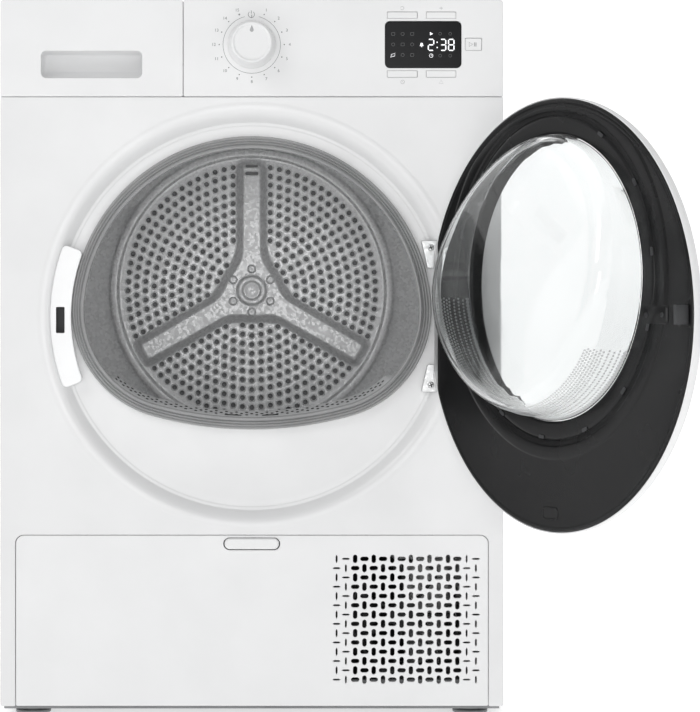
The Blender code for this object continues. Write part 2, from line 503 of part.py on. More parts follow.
# ---------------------------------------------------------------- service flap
flap = plate("service_flap", [rect(-0.2793, 0.0050, 0.2799, 0.2069, 0.006, 2), rect(-0.0335, 0.1895, 0.0335, 0.2042),
                              rect(0.0960, 0.0290, 0.2700, 0.1862, 0.004, 2)], 0.0015, WHITE_PL, facing_front(0, -0.2990, 0))
join(flap, box("flap_rib_low", (-0.2740, -0.2985, 0.0065), (0.2740, -0.2900, 0.0090)))
cells = [rect(0.0964, 0.0294, 0.2696, 0.1858, 0.004, 2)]
pitch_x, pitch_z = (0.2676 - 0.0985) / 8, (0.1837 - 0.0315) / 7
for i in range(8):
    for j in range(7):
        x0, z0 = 0.0985 + pitch_x * i, 0.0315 + pitch_z * j
        cells.append(rect(x0 + 0.003, z0 + 0.003, x0 + pitch_x - 0.003, z0 + pitch_z - 0.003))
plate("flap_grille", cells, 0.0013, WHITE_PL, facing_front(0, -0.2989, 0))
box("flap_handle", (-0.0322, -0.3060, 0.1907), (0.0322, -0.2970, 0.2036), WHITE_PL, bevel=0.0025, segments=2)

# ---------------------------------------------------------------- latch and hinges on the cabinet
ring = [math.radians(180 + d) for d in (-21, -14, -7, 0, 7, 14, 21)]
band = [(0.2386 * math.cos(a), 0.2386 * math.sin(a)) for a in ring] + [(0.2140 * math.cos(a), 0.2140 * math.sin(a)) for a in reversed(ring)]
latch = plate("latch_bezel", [band, rect(-0.2317, 0.4466 - DOOR_Z, -0.2217, 0.4774 - DOOR_Z)], 0.0017, WHITE_PL, facing_front(0, -0.2990, DOOR_Z))
lock = box("door_lock", (-0.2360, -0.2845, 0.4380), (-0.2170, -0.2640, 0.4860), BLACK_PL)
cut(lock, box("lock_slot", (-0.2317, -0.30, 0.4466), (-0.2217, -0.2700, 0.4774)))

for name, s in (("hinge_bracket_upper", 1), ("hinge_bracket_lower", -1)):
    zs = lambda off: DOOR_Z + s * off
    outline = [(0.2085, s * 0.0570), (0.2255, s * 0.0570), (0.2255, s * 0.0900), (0.2010, s * 0.0900)]
    if s < 0:
        outline.reverse()
    arm = plate(name, [outline], 0.0050, ZINC, facing_front(0, -0.2910, DOOR_Z))
    for k, off in enumerate((0.0580, 0.0850)):
        lo, hi = sorted((zs(off), zs(off + 0.0030)))
        join(arm, box(f"{name}_lug{k}", (0.2205, -0.3115, lo), (0.2253, -0.2880, hi)))
    lo, hi = sorted((zs(0.0585), zs(0.0875)))
    join(arm, rod(f"{name}_pin", (HINGE_X, HINGE_Y, lo), (HINGE_X, HINGE_Y, hi), 0.0020, sides=12))

# ---------------------------------------------------------------- door, built closed about its hinge and turned open
hinge = empty("door_axis", Matrix.Translation((HINGE_X, HINGE_Y, DOOR_Z)) @ Matrix.Rotation(DOOR_OPEN, 4, "Z"))
# In the door's own frame: local -X runs from the hinge to the free edge, local -Y faces out.


def in_door(y_off, up=0.0):
    """A turned piece or plate about the door centre, local +Z facing out, its zero at y_off outwards from the hinge axis."""
    return Matrix.Translation((-HINGE_X, -y_off, up)) @ Matrix.Rotation(math.pi / 2, 4, "X")


cover = turned("door_cover", [(0.2010, 0.0160), (0.2180, 0.0135), (0.2310, 0.0090), (0.2365, 0.0040), (DOOR_R, 0.0000), (DOOR_R, -0.0063), (0.2364, -0.0063),
                              (0.2364, 0.0014), (0.2350, 0.0036), (0.2295, 0.0072), (0.2170, 0.0110), (0.2010, 0.0130)], WHITE_PL, 56,
               in_door(0.0), hinge)
chord = box("cover_chord", (0.0040, -0.03, -0.0990), (0.05, 0.03, 0.0990), parent=hinge)
cut(cover, chord)
for s in (-1, 1):
    notch = box(f"cover_notch{s}", (-0.0070, -0.0050, min(s * 0.0560, s * 0.0900)), (0.05, 0.03, max(s * 0.0560, s * 0.0900)), parent=hinge)
    cut(cover, notch)
    for k, off in enumerate((0.0567, 0.0837)):
        lo, hi = sorted((s * off, s * (off + 0.0056)))
        cut(cover, box(f"cover_lug_slot{s}{k}", (-0.0066, -0.03, lo), (0.05, 0.03, hi), parent=hinge))

solid_turned("door_glass", [(0, 0.0210), (0.070, 0.0204), (0.140, 0.0185), (0.2006, 0.0159), (0.2006, 0.0131), (0.140, 0.0155), (0.070, 0.0174), (0, 0.0180)],
             look=CLEAR, steps=48, matrix=in_door(0.0), parent=hinge)

outer = [(x, y) for x, y in circle(LINER_R, n=64)]
limit = HINGE_X - 0.0045
outer = [(min(x, limit), y) for x, y in outer]
half_chord = math.sqrt(LINER_R ** 2 - limit ** 2)
clean = []
for x, y in outer:
    if x >= limit - 1e-9:
        continue
    clean.append((x, y))
first = [p for p in clean if p[1] > 0]
second = [p for p in clean if p[1] <= 0]
outer = [(limit, half_chord)] + first + second + [(limit, -half_chord)]
liner = plate("door_liner", [outer, circle(WINDOW_R, 0, WINDOW_UP, 56)], 0.0040, BLACK_PL, in_door(-0.0030), hinge)
b = liner.modifiers.new("edge", "BEVEL")
b.width, b.segments, b.limit_method, b.angle_limit = 0.0015, 1, "ANGLE", math.radians(60)

# Clear bowl: a wedge-shaped loft from the round window to a tilted face, deepest at the bottom.
N = 32


def bowl_rings(shrink):
    rows = []
    for f, r_side, r_low, dmin, dmax in ((0, 0.1558, 0.1558, 0.0, 0.0), (1, 0.1550, 0.1500, 0.0060, 0.0300), (2, 0.1530, 0.1400, 0.0110, 0.0560),
                                         (3, 0.1440, 0.1300, 0.0140, 0.0620), (4, 0.1200, 0.1080, 0.0150, 0.0600)):
        row = []
        for k in range(N):
            a = 2 * math.pi * k / N
            low = (1 - math.sin(a)) / 2
            r = r_side + (r_low - r_side) * max(0.0, -math.sin(a)) ** 2 - shrink
            d = dmin + (dmax - dmin) * low - (shrink if f else 0)
            row.append((r * math.cos(a), r * math.sin(a), d))
        rows.append(row)
    return rows


bm = bmesh.new()
shells = []
for shrink in (0.0, 0.0030):
    rows = [[bm.verts.new((x, y, -d)) for x, y, d in row] for row in bowl_rings(shrink)]
    centre_d = (0.0150 + 0.0600) / 2 - shrink
    tip = bm.verts.new((0, 0, -centre_d - 0.0015))
    for r0, r1 in zip(rows, rows[1:]):
        for k in range(N):
            q = [r0[k], r0[(k + 1) % N], r1[(k + 1) % N], r1[k]]
            bm.faces.new(q if not shrink else list(reversed(q)))
    for k in range(N):
        tri = [rows[-1][k], rows[-1][(k + 1) % N], tip]
        bm.faces.new(tri if not shrink else list(reversed(tri)))
    shells.append(rows[0])
for k in range(N):
    bm.faces.new([shells[0][(k + 1) % N], shells[0][k], shells[1][k], shells[1][(k + 1) % N]])
bmesh.ops.recalc_face_normals(bm, faces=bm.faces)
me = bpy.data.meshes.new("door_bowl")
bm.to_mesh(me)
bm.free()
me.shade_smooth()
bowl = put("door_bowl", me, CLEAR, parent=hinge)
bowl.matrix_local = in_door(-0.0060, WINDOW_UP)

strike = box("door_strike", (-0.4535, 0.0074, -0.0100), (-0.4465, 0.0240, 0.0100), ZINC, bevel=0.001, parent=hinge)
join(liner, box("catch_cover", (-0.4200, 0.0050, -0.0093), (-0.3830, 0.0088, 0.0093), parent=hinge))

knuckles = box("door_hinge_arm", (-0.0400, -0.0045, -0.0820), (-0.0060, -0.0015, 0.0820), ZINC, parent=hinge)
for s in (-1, 1):
    lo, hi = sorted((s * 0.0620, s * 0.0840))
    join(knuckles, box(f"knuckle_leaf{s}", (-0.0075, -0.0040, lo), (0.0, -0.0015, hi), parent=hinge))
    barrel = rod(f"knuckle{s}", (0, 0, lo), (0, 0, hi), 0.0040, sides=16, parent=hinge)
    join(knuckles, barrel)
for s in (-1, 1):
    lo, hi = sorted((s * 0.0600, s * 0.0860))
    cut(knuckles, rod(f"knuckle_bore{s}", (0, 0, lo), (0, 0, hi), 0.0024, sides=16, parent=hinge))
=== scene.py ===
import json
import math

import bmesh
import bpy
from mathutils import Matrix, Vector
from mathutils.geometry import delaunay_2d_cdt


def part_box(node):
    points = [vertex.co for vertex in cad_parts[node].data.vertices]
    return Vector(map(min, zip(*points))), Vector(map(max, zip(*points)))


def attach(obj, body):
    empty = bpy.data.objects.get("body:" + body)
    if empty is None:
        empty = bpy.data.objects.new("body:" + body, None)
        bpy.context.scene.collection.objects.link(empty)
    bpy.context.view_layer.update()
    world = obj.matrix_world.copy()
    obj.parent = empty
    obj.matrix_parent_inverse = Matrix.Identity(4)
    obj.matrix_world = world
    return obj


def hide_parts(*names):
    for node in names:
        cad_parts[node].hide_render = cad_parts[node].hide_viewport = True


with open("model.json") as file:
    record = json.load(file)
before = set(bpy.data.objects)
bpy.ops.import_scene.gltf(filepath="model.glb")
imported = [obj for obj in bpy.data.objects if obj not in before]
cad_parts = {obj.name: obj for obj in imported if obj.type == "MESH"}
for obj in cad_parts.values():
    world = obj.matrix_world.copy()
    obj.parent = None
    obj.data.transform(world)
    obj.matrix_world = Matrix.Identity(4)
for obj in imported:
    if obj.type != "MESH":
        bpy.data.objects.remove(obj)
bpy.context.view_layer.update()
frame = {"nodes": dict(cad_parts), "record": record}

PI = math.pi
rad = math.radians

# ------------------------------------------------------------------ where things are (metres, the CAD's own numbers)
DOOR_Z = 0.4664
DRUM_Z = 0.5044
DIAL_Z = 0.7879
HINGE = Vector((0.223, -0.308, 0.4664))
OPEN = rad(119.3)
DOOR = Matrix.Translation(HINGE) @ Matrix.Rotation(OPEN, 4, "Z")


def front(x, y, z):
    """local +X right, +Y up, +Z out of the front"""
    return Matrix.Translation((x, y, z)) @ Matrix.Rotation(PI / 2, 4, "X")


def door_out(n, up=0.0):
    """on the door, local +Z faces out of its front, zero at n outwards from the hinge axis"""
    return DOOR @ Matrix.Translation((-0.223, -n, up)) @ Matrix.Rotation(PI / 2, 4, "X")


def door_in(n, up=0.0):
    """on the door, local +Z faces the drum, local +X towards the free edge"""
    return door_out(n, up) @ Matrix.Rotation(PI, 4, "Y")


def at(px, py):
    """front-plane place of a mark read at the console's scale"""
    return Vector(((px - 251.6) / 844.9, 0.4556 + (325.4 - py) / 844.9))


# ------------------------------------------------------------------ materials
def ramp_between(nt, fac, a, b, lo=0.3, hi=0.7):
    r = nt.nodes.new("ShaderNodeValToRGB")
    r.color_ramp.elements[0].position = lo
    r.color_ramp.elements[1].position = hi
    r.color_ramp.elements[0].color = (*a, 1)
    r.color_ramp.elements[1].color = (*b, 1)
    nt.links.new(fac, r.inputs[0])
    return r.outputs[0]


def finish(name, a, b=None, rough=(0.3, 0.4), metal=0.0, fine=900.0, blotch=14.0, bump=0.05, depth=0.0002, stretch=(1, 1, 1),
           coat=0.0, coat_rough=0.08, spec=0.5, trans=0.0, ior=1.46, alpha=None, grain="noise", mark=0.0, sheen=0.0):
    m = bpy.data.materials.new(name)
    m.use_nodes = True
    nt = m.node_tree
    p = nt.nodes["Principled BSDF"]
    new, link = nt.nodes.new, nt.links.new
    tc = new("ShaderNodeTexCoord")
    mp = new("ShaderNodeMapping")
    mp.inputs["Scale"].default_value = stretch
    link(tc.outputs["Object"], mp.inputs["Vector"])
    broad = new("ShaderNodeTexNoise")
    broad.inputs["Scale"].default_value = blotch
    broad.inputs["Detail"].default_value = 4
    link(mp.outputs[0], broad.inputs["Vector"])
    if grain == "noise":
        g = new("ShaderNodeTexNoise")
        g.inputs["Scale"].default_value = fine
        g.inputs["Detail"].default_value = 3
        grain_out = g.outputs[0]
    else:
        g = new("ShaderNodeTexVoronoi")
        g.inputs["Scale"].default_value = fine
        grain_out = g.outputs["Distance"] if grain == "cells" else g.outputs["Color"]
    link(mp.outputs[0], g.inputs["Vector"])
    b = b or tuple(max(0.0, c * 0.965) for c in a)
    if grain == "spangle":
        link(ramp_between(nt, grain_out, a, b, 0.15, 0.85), p.inputs["Base Color"])
    else:
        link(ramp_between(nt, broad.outputs[0], a, b, 0.35, 0.65), p.inputs["Base Color"])
    mr = new("ShaderNodeMapRange")
    mr.inputs["From Min"].default_value = 0.3
    mr.inputs["From Max"].default_value = 0.7
    mr.inputs["To Min"].default_value, mr.inputs["To Max"].default_value = rough
    link(grain_out if grain == "spangle" else broad.outputs[0], mr.inputs["Value"])
    link(mr.outputs[0], p.inputs["Roughness"])
    bp = new("ShaderNodeBump")
    bp.inputs["Strength"].default_value = bump
    bp.inputs["Distance"].default_value = depth
    link(grain_out, bp.inputs["Height"])
    link(bp.outputs[0], p.inputs["Normal"])
    p.inputs["Metallic"].default_value = metal
    p.inputs["IOR"].default_value = ior
    p.inputs["Specular IOR Level"].default_value = spec
    p.inputs["Coat Weight"].default_value = coat
    p.inputs["Coat Roughness"].default_value = coat_rough
    p.inputs["Transmission Weight"].default_value = trans
    p.inputs["Sheen Weight"].default_value = sheen
    if alpha is not None:
        p.inputs["Alpha"].default_value = alpha
    return m


M = {
    "enamel": finish("fine_white_enamel", (0.755, 0.758, 0.762), (0.735, 0.738, 0.742), (0.30, 0.38), fine=1300, bump=0.045, depth=0.0003, coat=0.25, coat_rough=0.12),
    "case": finish("moulded_white_plastic", (0.785, 0.788, 0.792), (0.765, 0.768, 0.772), (0.34, 0.44), fine=2400, bump=0.06, depth=0.0002),
    "gloss_white": finish("glossy_white_plastic", (0.82, 0.825, 0.83), (0.80, 0.805, 0.81), (0.12, 0.2), fine=900, bump=0.02, coat=0.4),
    "black": finish("glossy_black_plastic", (0.0060, 0.0060, 0.0064), (0.0085, 0.0085, 0.0090), (0.20, 0.30), fine=1800, bump=0.03, spec=0.28),
    "black_matt": finish("grained_black_plastic", (0.030, 0.031, 0.033), (0.042, 0.043, 0.045), (0.45, 0.6), fine=1600, bump=0.25, depth=0.0003),
    "grey": finish("grey_moulding", (0.30, 0.305, 0.31), (0.26, 0.265, 0.27), (0.4, 0.52), fine=1700, bump=0.12, depth=0.0003),
    "light_grey": finish("light_grey_moulding", (0.56, 0.565, 0.57), (0.50, 0.505, 0.51), (0.4, 0.5), fine=1700, bump=0.1),
    "rubber": finish("ribbed_grey_rubber", (0.335, 0.337, 0.340), (0.285, 0.288, 0.291), (0.5, 0.66), fine=1500, bump=0.3, depth=0.0004, sheen=0.15),
    "drum": finish("brushed_drum_steel", (0.80, 0.802, 0.804), (0.74, 0.742, 0.744), (0.28, 0.40), metal=0.65, fine=420, stretch=(1, 14, 1), blotch=9, bump=0.12, depth=0.0003),
    "spangle": finish("galvanised_spangle", (0.74, 0.745, 0.75), (0.95, 0.955, 0.96), (0.36, 0.54), metal=0.40, fine=300, bump=0.10, depth=0.0003, grain="spangle"),
    "zinc": finish("zinc_plated_steel", (0.52, 0.525, 0.53), (0.62, 0.625, 0.625), (0.28, 0.44), metal=0.95, fine=340, bump=0.08, depth=0.0003, grain="spangle"),
    # painted shade: a dark colour closing the drum's perforations and slots, where only shade is seen through
    "painted_hole_shade": finish("painted_perforation_shade", (0.22, 0.222, 0.225), (0.28, 0.282, 0.285), (0.5, 0.6), metal=0.5, fine=500, bump=0.1),
    "fins": finish("fin_stock_aluminium", (0.70, 0.705, 0.71), (0.62, 0.625, 0.63), (0.3, 0.42), metal=1.0, fine=700, stretch=(12, 1, 1), bump=0.3, depth=0.0004),
    "clear": finish("clear_moulding", (0.955, 0.965, 0.965), (0.93, 0.945, 0.945), (0.015, 0.05), fine=60, blotch=8, bump=0.02, depth=0.0002, trans=1.0, ior=1.47),
    "pane": finish("smoked_clear_pane", (0.94, 0.95, 0.95), (0.92, 0.93, 0.93), (0.01, 0.03), fine=50, blotch=7, bump=0.01, trans=1.0, ior=1.45),
    "frost": finish("frosted_print", (0.62, 0.63, 0.635), (0.55, 0.56, 0.565), (0.45, 0.6), fine=900, bump=0.1),
    "screen": finish("dark_display_lens", (0.009, 0.0092, 0.010), (0.012, 0.0123, 0.0135), (0.16, 0.24), fine=700, bump=0.01, spec=0.18),
    "ink": finish("grey_print_ink", (0.13, 0.135, 0.14), (0.17, 0.175, 0.18), (0.5, 0.6), fine=2600, bump=0.05),
    "pale_ink": finish("pale_print_ink", (0.36, 0.365, 0.37), (0.40, 0.405, 0.41), (0.5, 0.6), fine=2600, bump=0.05),
    "dim": finish("unlit_icon_ink", (0.10, 0.102, 0.105), (0.13, 0.132, 0.135), (0.3, 0.4), fine=2000, bump=0.05),
    # painted shade: a near-black colour set inside holes, recesses and screw slots
    "painted_slot_shade": finish("shadowed_slot", (0.012, 0.012, 0.012), (0.02, 0.02, 0.02), (0.6, 0.8), fine=800, bump=0.1),
    "screw": finish("plated_screw", (0.50, 0.505, 0.51), (0.60, 0.60, 0.60), (0.22, 0.34), metal=1.0, fine=900, bump=0.1),
    "belt": finish("ribbed_belt_rubber", (0.030, 0.030, 0.030), (0.045, 0.045, 0.045), (0.6, 0.75), fine=900, stretch=(1, 8, 1), bump=0.4, depth=0.0004),
    "paint_black": finish("black_compressor_paint", (0.02, 0.02, 0.021), (0.03, 0.03, 0.031), (0.25, 0.38), fine=700, bump=0.12, depth=0.0004, coat=0.2),
}
glow = finish("lit_segment", (0.9, 0.9, 0.92), (0.85, 0.85, 0.87), (0.4, 0.5), fine=2000, bump=0.02)
glow.node_tree.nodes["Principled BSDF"].inputs["Emission Color"].default_value = (0.95, 0.96, 1.0, 1)
glow.node_tree.nodes["Principled BSDF"].inputs["Emission Strength"].default_value = 0.55
M["glow"] = glow

SLOT_LOOK = {"white_enamel": "enamel", "white_plastic": "case", "black_plastic": "black_matt", "grey_plastic": "grey", "grey_rubber": "rubber",
             "drum_steel": "drum", "zinc_steel": "zinc", "fin_aluminium": "fins", "clear_plastic": "clear", "display_glass": "screen"}
node_slot = {s["node"]: s["material_slot"] for s in frame["record"]["subparts"]}
OWN_LOOK = {"drive_belt": "belt", "compressor": "paint_black", "rear_panel": "zinc", "control_board": "grey"}
for node, obj in frame["nodes"].items():
    look = M[OWN_LOOK.get(node, SLOT_LOOK[node_slot[node]])]
    for s in obj.material_slots:
        s.material = look
    if not obj.material_slots:
        obj.data.materials.append(look)


# ------------------------------------------------------------------ outlines
def circle(r, n=64, cx=0.0, cy=0.0, start=0.0):
    return [Vector((cx + r * math.cos(start + 2 * PI * i / n), cy + r * math.sin(start + 2 * PI * i / n))) for i in range(n)]


def rounded(x0, y0, x1, y1, r, n=6):
    """a counter-clockwise rectangle; r is one radius, or one each for lower right, upper right, upper left, lower left"""
    rs = r if isinstance(r, (tuple, list)) else (r,) * 4
    out = []
    for k, (cx, cy, sx, sy, a0) in enumerate(((x1, y0, -1, 1, -90), (x1, y1, -1, -1, 0), (x0, y1, 1, -1, 90), (x0, y0, 1, 1, 180))):
        rr = rs[k]
        if rr < 1e-5:
            out.append(Vector((cx, cy)))
            continue
        for i in range(n + 1):
            a = rad(a0 + 90 * i / n)
            out.append(Vector((cx + sx * rr + rr * math.cos(a), cy + sy * rr + rr * math.sin(a))))
    return out


def soften(points, r, n=5):
    """rounds the corners of a counter-clockwise outline"""
    out, k = [], len(points)
    pts = [Vector(p) for p in points]
    rs = r if isinstance(r, (list, tuple)) else [r] * k
    for i in range(k):
        p, a, b = pts[i], pts[i - 1], pts[(i + 1) % k]
        rr = rs[i]
        u, v = (a - p).normalized(), (b - p).normalized()
        half = math.acos(max(-1, min(1, u.dot(v)))) / 2
        if rr < 1e-5 or half > PI / 2 - 0.02:
            out.append(p)
            continue
        d = min(rr / math.tan(half), (a - p).length * 0.49, (b - p).length * 0.49)
        rr = d * math.tan(half)
        c = p + (u + v).normalized() * (rr / math.sin(half))
        s, e = p + u * d - c, p + v * d - c
        a0 = math.atan2(s.y, s.x)
        turn = math.atan2(s.x * e.y - s.y * e.x, s.dot(e))
        for q in range(n + 1):
            t = a0 + turn * q / n
            out.append(c + Vector((math.cos(t), math.sin(t))) * rr)
    return out


def offset(loop, d):
    """moves a counter-clockwise loop inwards by d"""
    if abs(d) < 1e-9:
        return [Vector(p) for p in loop]
    out, k = [], len(loop)
    for i in range(k):
        p0, p, p1 = loop[i - 1], loop[i], loop[(i + 1) % k]
        t0, t1 = (p - p0).normalized(), (p1 - p).normalized()
        n0, n1 = Vector((-t0.y, t0.x)), Vector((-t1.y, t1.x))
        m = (n0 + n1).normalized()
        out.append(p + m * (d / max(0.35, m.dot(n0))))
    return out


def opening(inset):
    """the loading opening about the door's centre, inset by so much, always the same count of points"""
    out = []
    for cx, cy, r, a0, a1, n in ((0, 0, 0.2135, 5.02, 174.98, 124), (-0.0832, 0.0073, 0.130, 174.98, 254.43, 35),
                                 (0, 0.306, 0.440, 254.43, 285.57, 46), (0.0832, 0.0073, 0.130, 285.57, 365.02, 35)):
        for i in range(n):
            a = rad(a0 + (a1 - a0) * i / n)
            out.append(Vector((cx + (r - inset) * math.cos(a), cy + (r - inset) * math.sin(a))))
    return out


def inside(p, loop):
    hit, j = False, len(loop) - 1
    for i in range(len(loop)):
        a, b = loop[i], loop[j]
        if (a.y > p.y) != (b.y > p.y) and p.x < (b.x - a.x) * (p.y - a.y) / (b.y - a.y) + a.x:
            hit = not hit
        j = i
    return hit


# ------------------------------------------------------------------ meshes
class Shape:
    def __init__(self):
        self.v, self.f, self.m = [], [], []

    def ring(self, pts):
        i = len(self.v)
        self.v += [tuple(p) if len(p) == 3 else (p[0], p[1], 0.0) for p in pts]
        return list(range(i, len(self.v)))

    def face(self, idx, m=0):
        self.f.append(tuple(idx))
        self.m.append(m)

    def bridge(self, a, b, m=0, closed=True):
        n = len(a)
        for i in range(n if closed else n - 1):
            j = (i + 1) % n
            self.face((a[i], a[j], b[j], b[i]), m)

    def tip(self, ring, p, m=0, closed=True):
        c = self.ring([p])[0]
        n = len(ring)
        for i in range(n if closed else n - 1):
            self.face((ring[i], ring[(i + 1) % n], c), m)

    def fill(self, rings, m=0, plane=(0, 1)):
        """fills the first ring, less the others"""
        loops = [[Vector((self.v[i][plane[0]], self.v[i][plane[1]])) for i in r] for r in rings]
        idx = [i for r in rings for i in r]
        pts = [p for l in loops for p in l]
        edges, base = [], 0
        for l in loops:
            edges += [(base + i, base + (i + 1) % len(l)) for i in range(len(l))]
            base += len(l)
        vs, _, fs, ov, _, _ = delaunay_2d_cdt(pts, edges, [], 0, 1e-7)
        third = 3 - plane[0] - plane[1]
        level = self.v[rings[0][0]][third]
        place_of = {}
        for f in fs:
            c = sum((vs[i] for i in f), Vector((0, 0))) / len(f)
            if inside(c, loops[0]) and not any(inside(c, l) for l in loops[1:]):
                for i in f:
                    if i not in place_of:
                        if ov[i]:
                            place_of[i] = idx[ov[i][0]]
                        else:
                            q = [0.0, 0.0, 0.0]
                            q[plane[0]], q[plane[1]], q[third] = vs[i].x, vs[i].y, level
                            place_of[i] = self.ring([q])[0]
                self.face([place_of[i] for i in f], m)

    def block(self, lo, hi, m=0, r=0.0006):
        """a small chamfered block"""
        base = rounded(lo[0] + r, lo[1] + r, hi[0] - r, hi[1] - r, min(r, (hi[0] - lo[0]) / 4, (hi[1] - lo[1]) / 4), 2)
        big = offset(base, -r)
        rings = [self.ring([(p.x, p.y, z) for p in l]) for l, z in ((base, lo[2]), (big, lo[2] + r), (big, hi[2] - r), (base, hi[2]))]
        for a, b in zip(rings, rings[1:]):
            self.bridge(a, b, m)
        self.face(rings[0][::-1], m)
        self.face(rings[-1], m)

    def make(self, name, looks, matrix=Matrix.Identity(4), weld=1e-6, smooth=True, sharp=38):
        me = bpy.data.meshes.new(name)
        me.from_pydata([matrix @ Vector(p) for p in self.v], [], self.f)
        for l in (looks if isinstance(looks, (list, tuple)) else [looks]):
            me.materials.append(M[l])
        for p, m in zip(me.polygons, self.m):
            p.material_index = m
        bm = bmesh.new()
        bm.from_mesh(me)
        bmesh.ops.remove_doubles(bm, verts=bm.verts, dist=weld)
        bmesh.ops.dissolve_degenerate(bm, edges=bm.edges, dist=1e-7)
        bmesh.ops.recalc_face_normals(bm, faces=bm.faces)
        for f in bm.faces:
            f.smooth = smooth
        lim = rad(sharp)
        for e in bm.edges:
            if len(e.link_faces) == 2 and e.calc_face_angle(0) > lim:
                e.smooth = False
        bm.to_mesh(me)
        bm.free()
        o = bpy.data.objects.new(name, me)
        bpy.context.scene.collection.objects.link(o)
        return o


def place(obj, body, slot, *nodes):
    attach(obj, body)
    if nodes:
        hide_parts(*nodes)
    return obj


def plate(s, outer, holes=(), thick=0.002, r=0.0008, hole_r=None, steps=3, z=0.0, m=0, back=True, hold=0.0004):
    """a flat sheet in the shape, its front at z, with rolled edges"""
    fronts, backs = [], []
    for k, loop in enumerate([outer, *holes]):
        sg = 1 if k == 0 else -1
        rr = r if k == 0 or hole_r is None else hole_r
        rings = [s.ring([(p.x, p.y, z) for p in offset(loop, sg * (rr + hold))])]
        for q in range(steps + 1):
            a = PI / 2 * q / steps
            rings.append(s.ring([(p.x, p.y, z - rr * (1 - math.cos(a))) for p in offset(loop, sg * rr * (1 - math.sin(a)))]))
        rings.append(s.ring([(p.x, p.y, z - thick) for p in loop]))
        for a, b in zip(rings, rings[1:]):
            s.bridge(a, b, m)
        fronts.append(rings[0])
        backs.append(rings[-1])
    s.fill(fronts, m)
    if back:
        s.fill(backs, m)
    return backs


def lathe(s, profile, n=64, m=0, cx=0.0, cy=0.0, closed=False):
    rings = []
    for r, h in profile:
        rings.append((r, h, s.ring([(cx + r * math.cos(2 * PI * i / n), cy + r * math.sin(2 * PI * i / n), h) for i in range(n)]) if r > 1e-6 else None))
    for (r0, h0, a), (r1, h1, b) in zip(rings, rings[1:] + (rings[:1] if closed else [])):
        if a and b:
            s.bridge(a, b, m)
        elif a and not b:
            s.tip(a, (cx, cy, h1), m)
        elif b and not a:
            s.tip(b, (cx, cy, h0), m)


def screw(s, x, y, r=0.0042, z=0.0, m=0, dark=1, turn=0.3):
    """a domed cross-slotted screw head"""
    w, l = r * 0.17, r * 0.62
    cross = [(w, -l), (w, -w), (l, -w), (l, w), (w, w), (w, l), (-w, l), (-w, w), (-l, w), (-l, -w), (-w, -w), (-w, -l)]
    c, q = math.cos(turn), math.sin(turn)
    cross = [Vector((x + c * a - q * b, y + q * a + c * b)) for a, b in cross]
    ring = circle(r, 28, x, y)
    body = [s.ring([(p.x, p.y, z + h) for p in offset(ring, d)]) for d, h in ((0, 0), (0.0001, r * 0.25), (r * 0.16, r * 0.42), (r * 0.34, r * 0.5))]
    for a, b in zip(body, body[1:]):
        s.bridge(a, b, m)
    top = s.ring([(p.x, p.y, z + r * 0.5) for p in cross])
    low = s.ring([(p.x, p.y, z + r * 0.12) for p in cross])
    s.fill([body[-1], top], m)
    # the cross recess takes material index dark: painted shade on the hinge plates and rear wall
    s.bridge(top, low, dark)
    s.face(low, dark)


def ribbon(s, pts, w, m=0, closed=False, z=0.0, t=0.00004):
    """a printed line: a flat strip along the points"""
    pts = [Vector(p) for p in pts]
    k = len(pts)
    left, right = [], []
    for i in range(k):
        a = pts[i - 1] if closed or i else pts[i]
        b = pts[(i + 1) % k] if closed or i < k - 1 else pts[i]
        d = (b - a).normalized()
        nrm = Vector((-d.y, d.x)) * w / 2
        left.append(pts[i] + nrm)
        right.append(pts[i] - nrm)
    a = s.ring([(p.x, p.y, z) for p in left])
    b = s.ring([(p.x, p.y, z) for p in right])
    s.bridge(a, b, m, closed)


def disc(s, x, y, r, m=0, n=16, z=0.0):
    s.face(s.ring([(p.x, p.y, z) for p in circle(r, n, x, y)]), m)


def poly(s, pts, m=0, z=0.0):
    s.face(s.ring([(p[0], p[1], z) for p in pts]), m)


def arc(cx, cy, r, a0, a1, n=24):
    return [Vector((cx + r * math.cos(rad(a0 + (a1 - a0) * i / n)), cy + r * math.sin(rad(a0 + (a1 - a0) * i / n)))) for i in range(n + 1)]


# ------------------------------------------------------------------ front panel
s = Shape()
rings = [s.ring([(p.x, p.y, 0.0115) for p in opening(0.0040)]),
         s.ring([(p.x, p.y, 0.0130) for p in opening(0.0040)]),
         s.ring([(p.x, p.y, 0.0130) for p in opening(-0.0005)])]
ang = [math.atan2(p.y, p.x) for p in opening(0.0)]
for r, y in ((0.2200, 0.0130), (0.2258, 0.0130), (0.2264, 0.01280), (0.2272, 0.01235), (0.2284, 0.01220), (0.2302, 0.01215), (0.2309, 0.01180), (0.2317, 0.01090),
             (0.2335, 0.00890), (0.2360, 0.00620), (0.2385, 0.00370), (0.2402, 0.00230), (0.2420, 0.00125), (0.2440, 0.00050), (0.2460, 0.00012),
             (0.2480, -0.00018), (0.2500, -0.00028), (0.2522, -0.00012), (0.2540, 0.0), (0.2546, 0.0)):
    rings.append(s.ring([(r * math.cos(a), r * math.sin(a), y) for a in ang]))
for a, b in zip(rings, rings[1:]):
    s.bridge(a, b)
z0, z1, zf = 0.0045 - DOOR_Z, 0.7263 - DOOR_Z, 0.2073 - DOOR_Z
outline = soften([(-0.298, z0), (-0.2800, z0), (-0.2800, zf), (0.2805, zf), (0.2805, z0), (0.298, z0), (0.298, z1), (-0.298, z1)],
                 [0.0020, 0.0020, 0.0098, 0.0098, 0.0020, 0.0020, 0.0020, 0.0020], 8)
R = 0.0013
edge = [s.ring([(p.x, p.y, 0.0) for p in offset(outline, R + 0.0004)])]
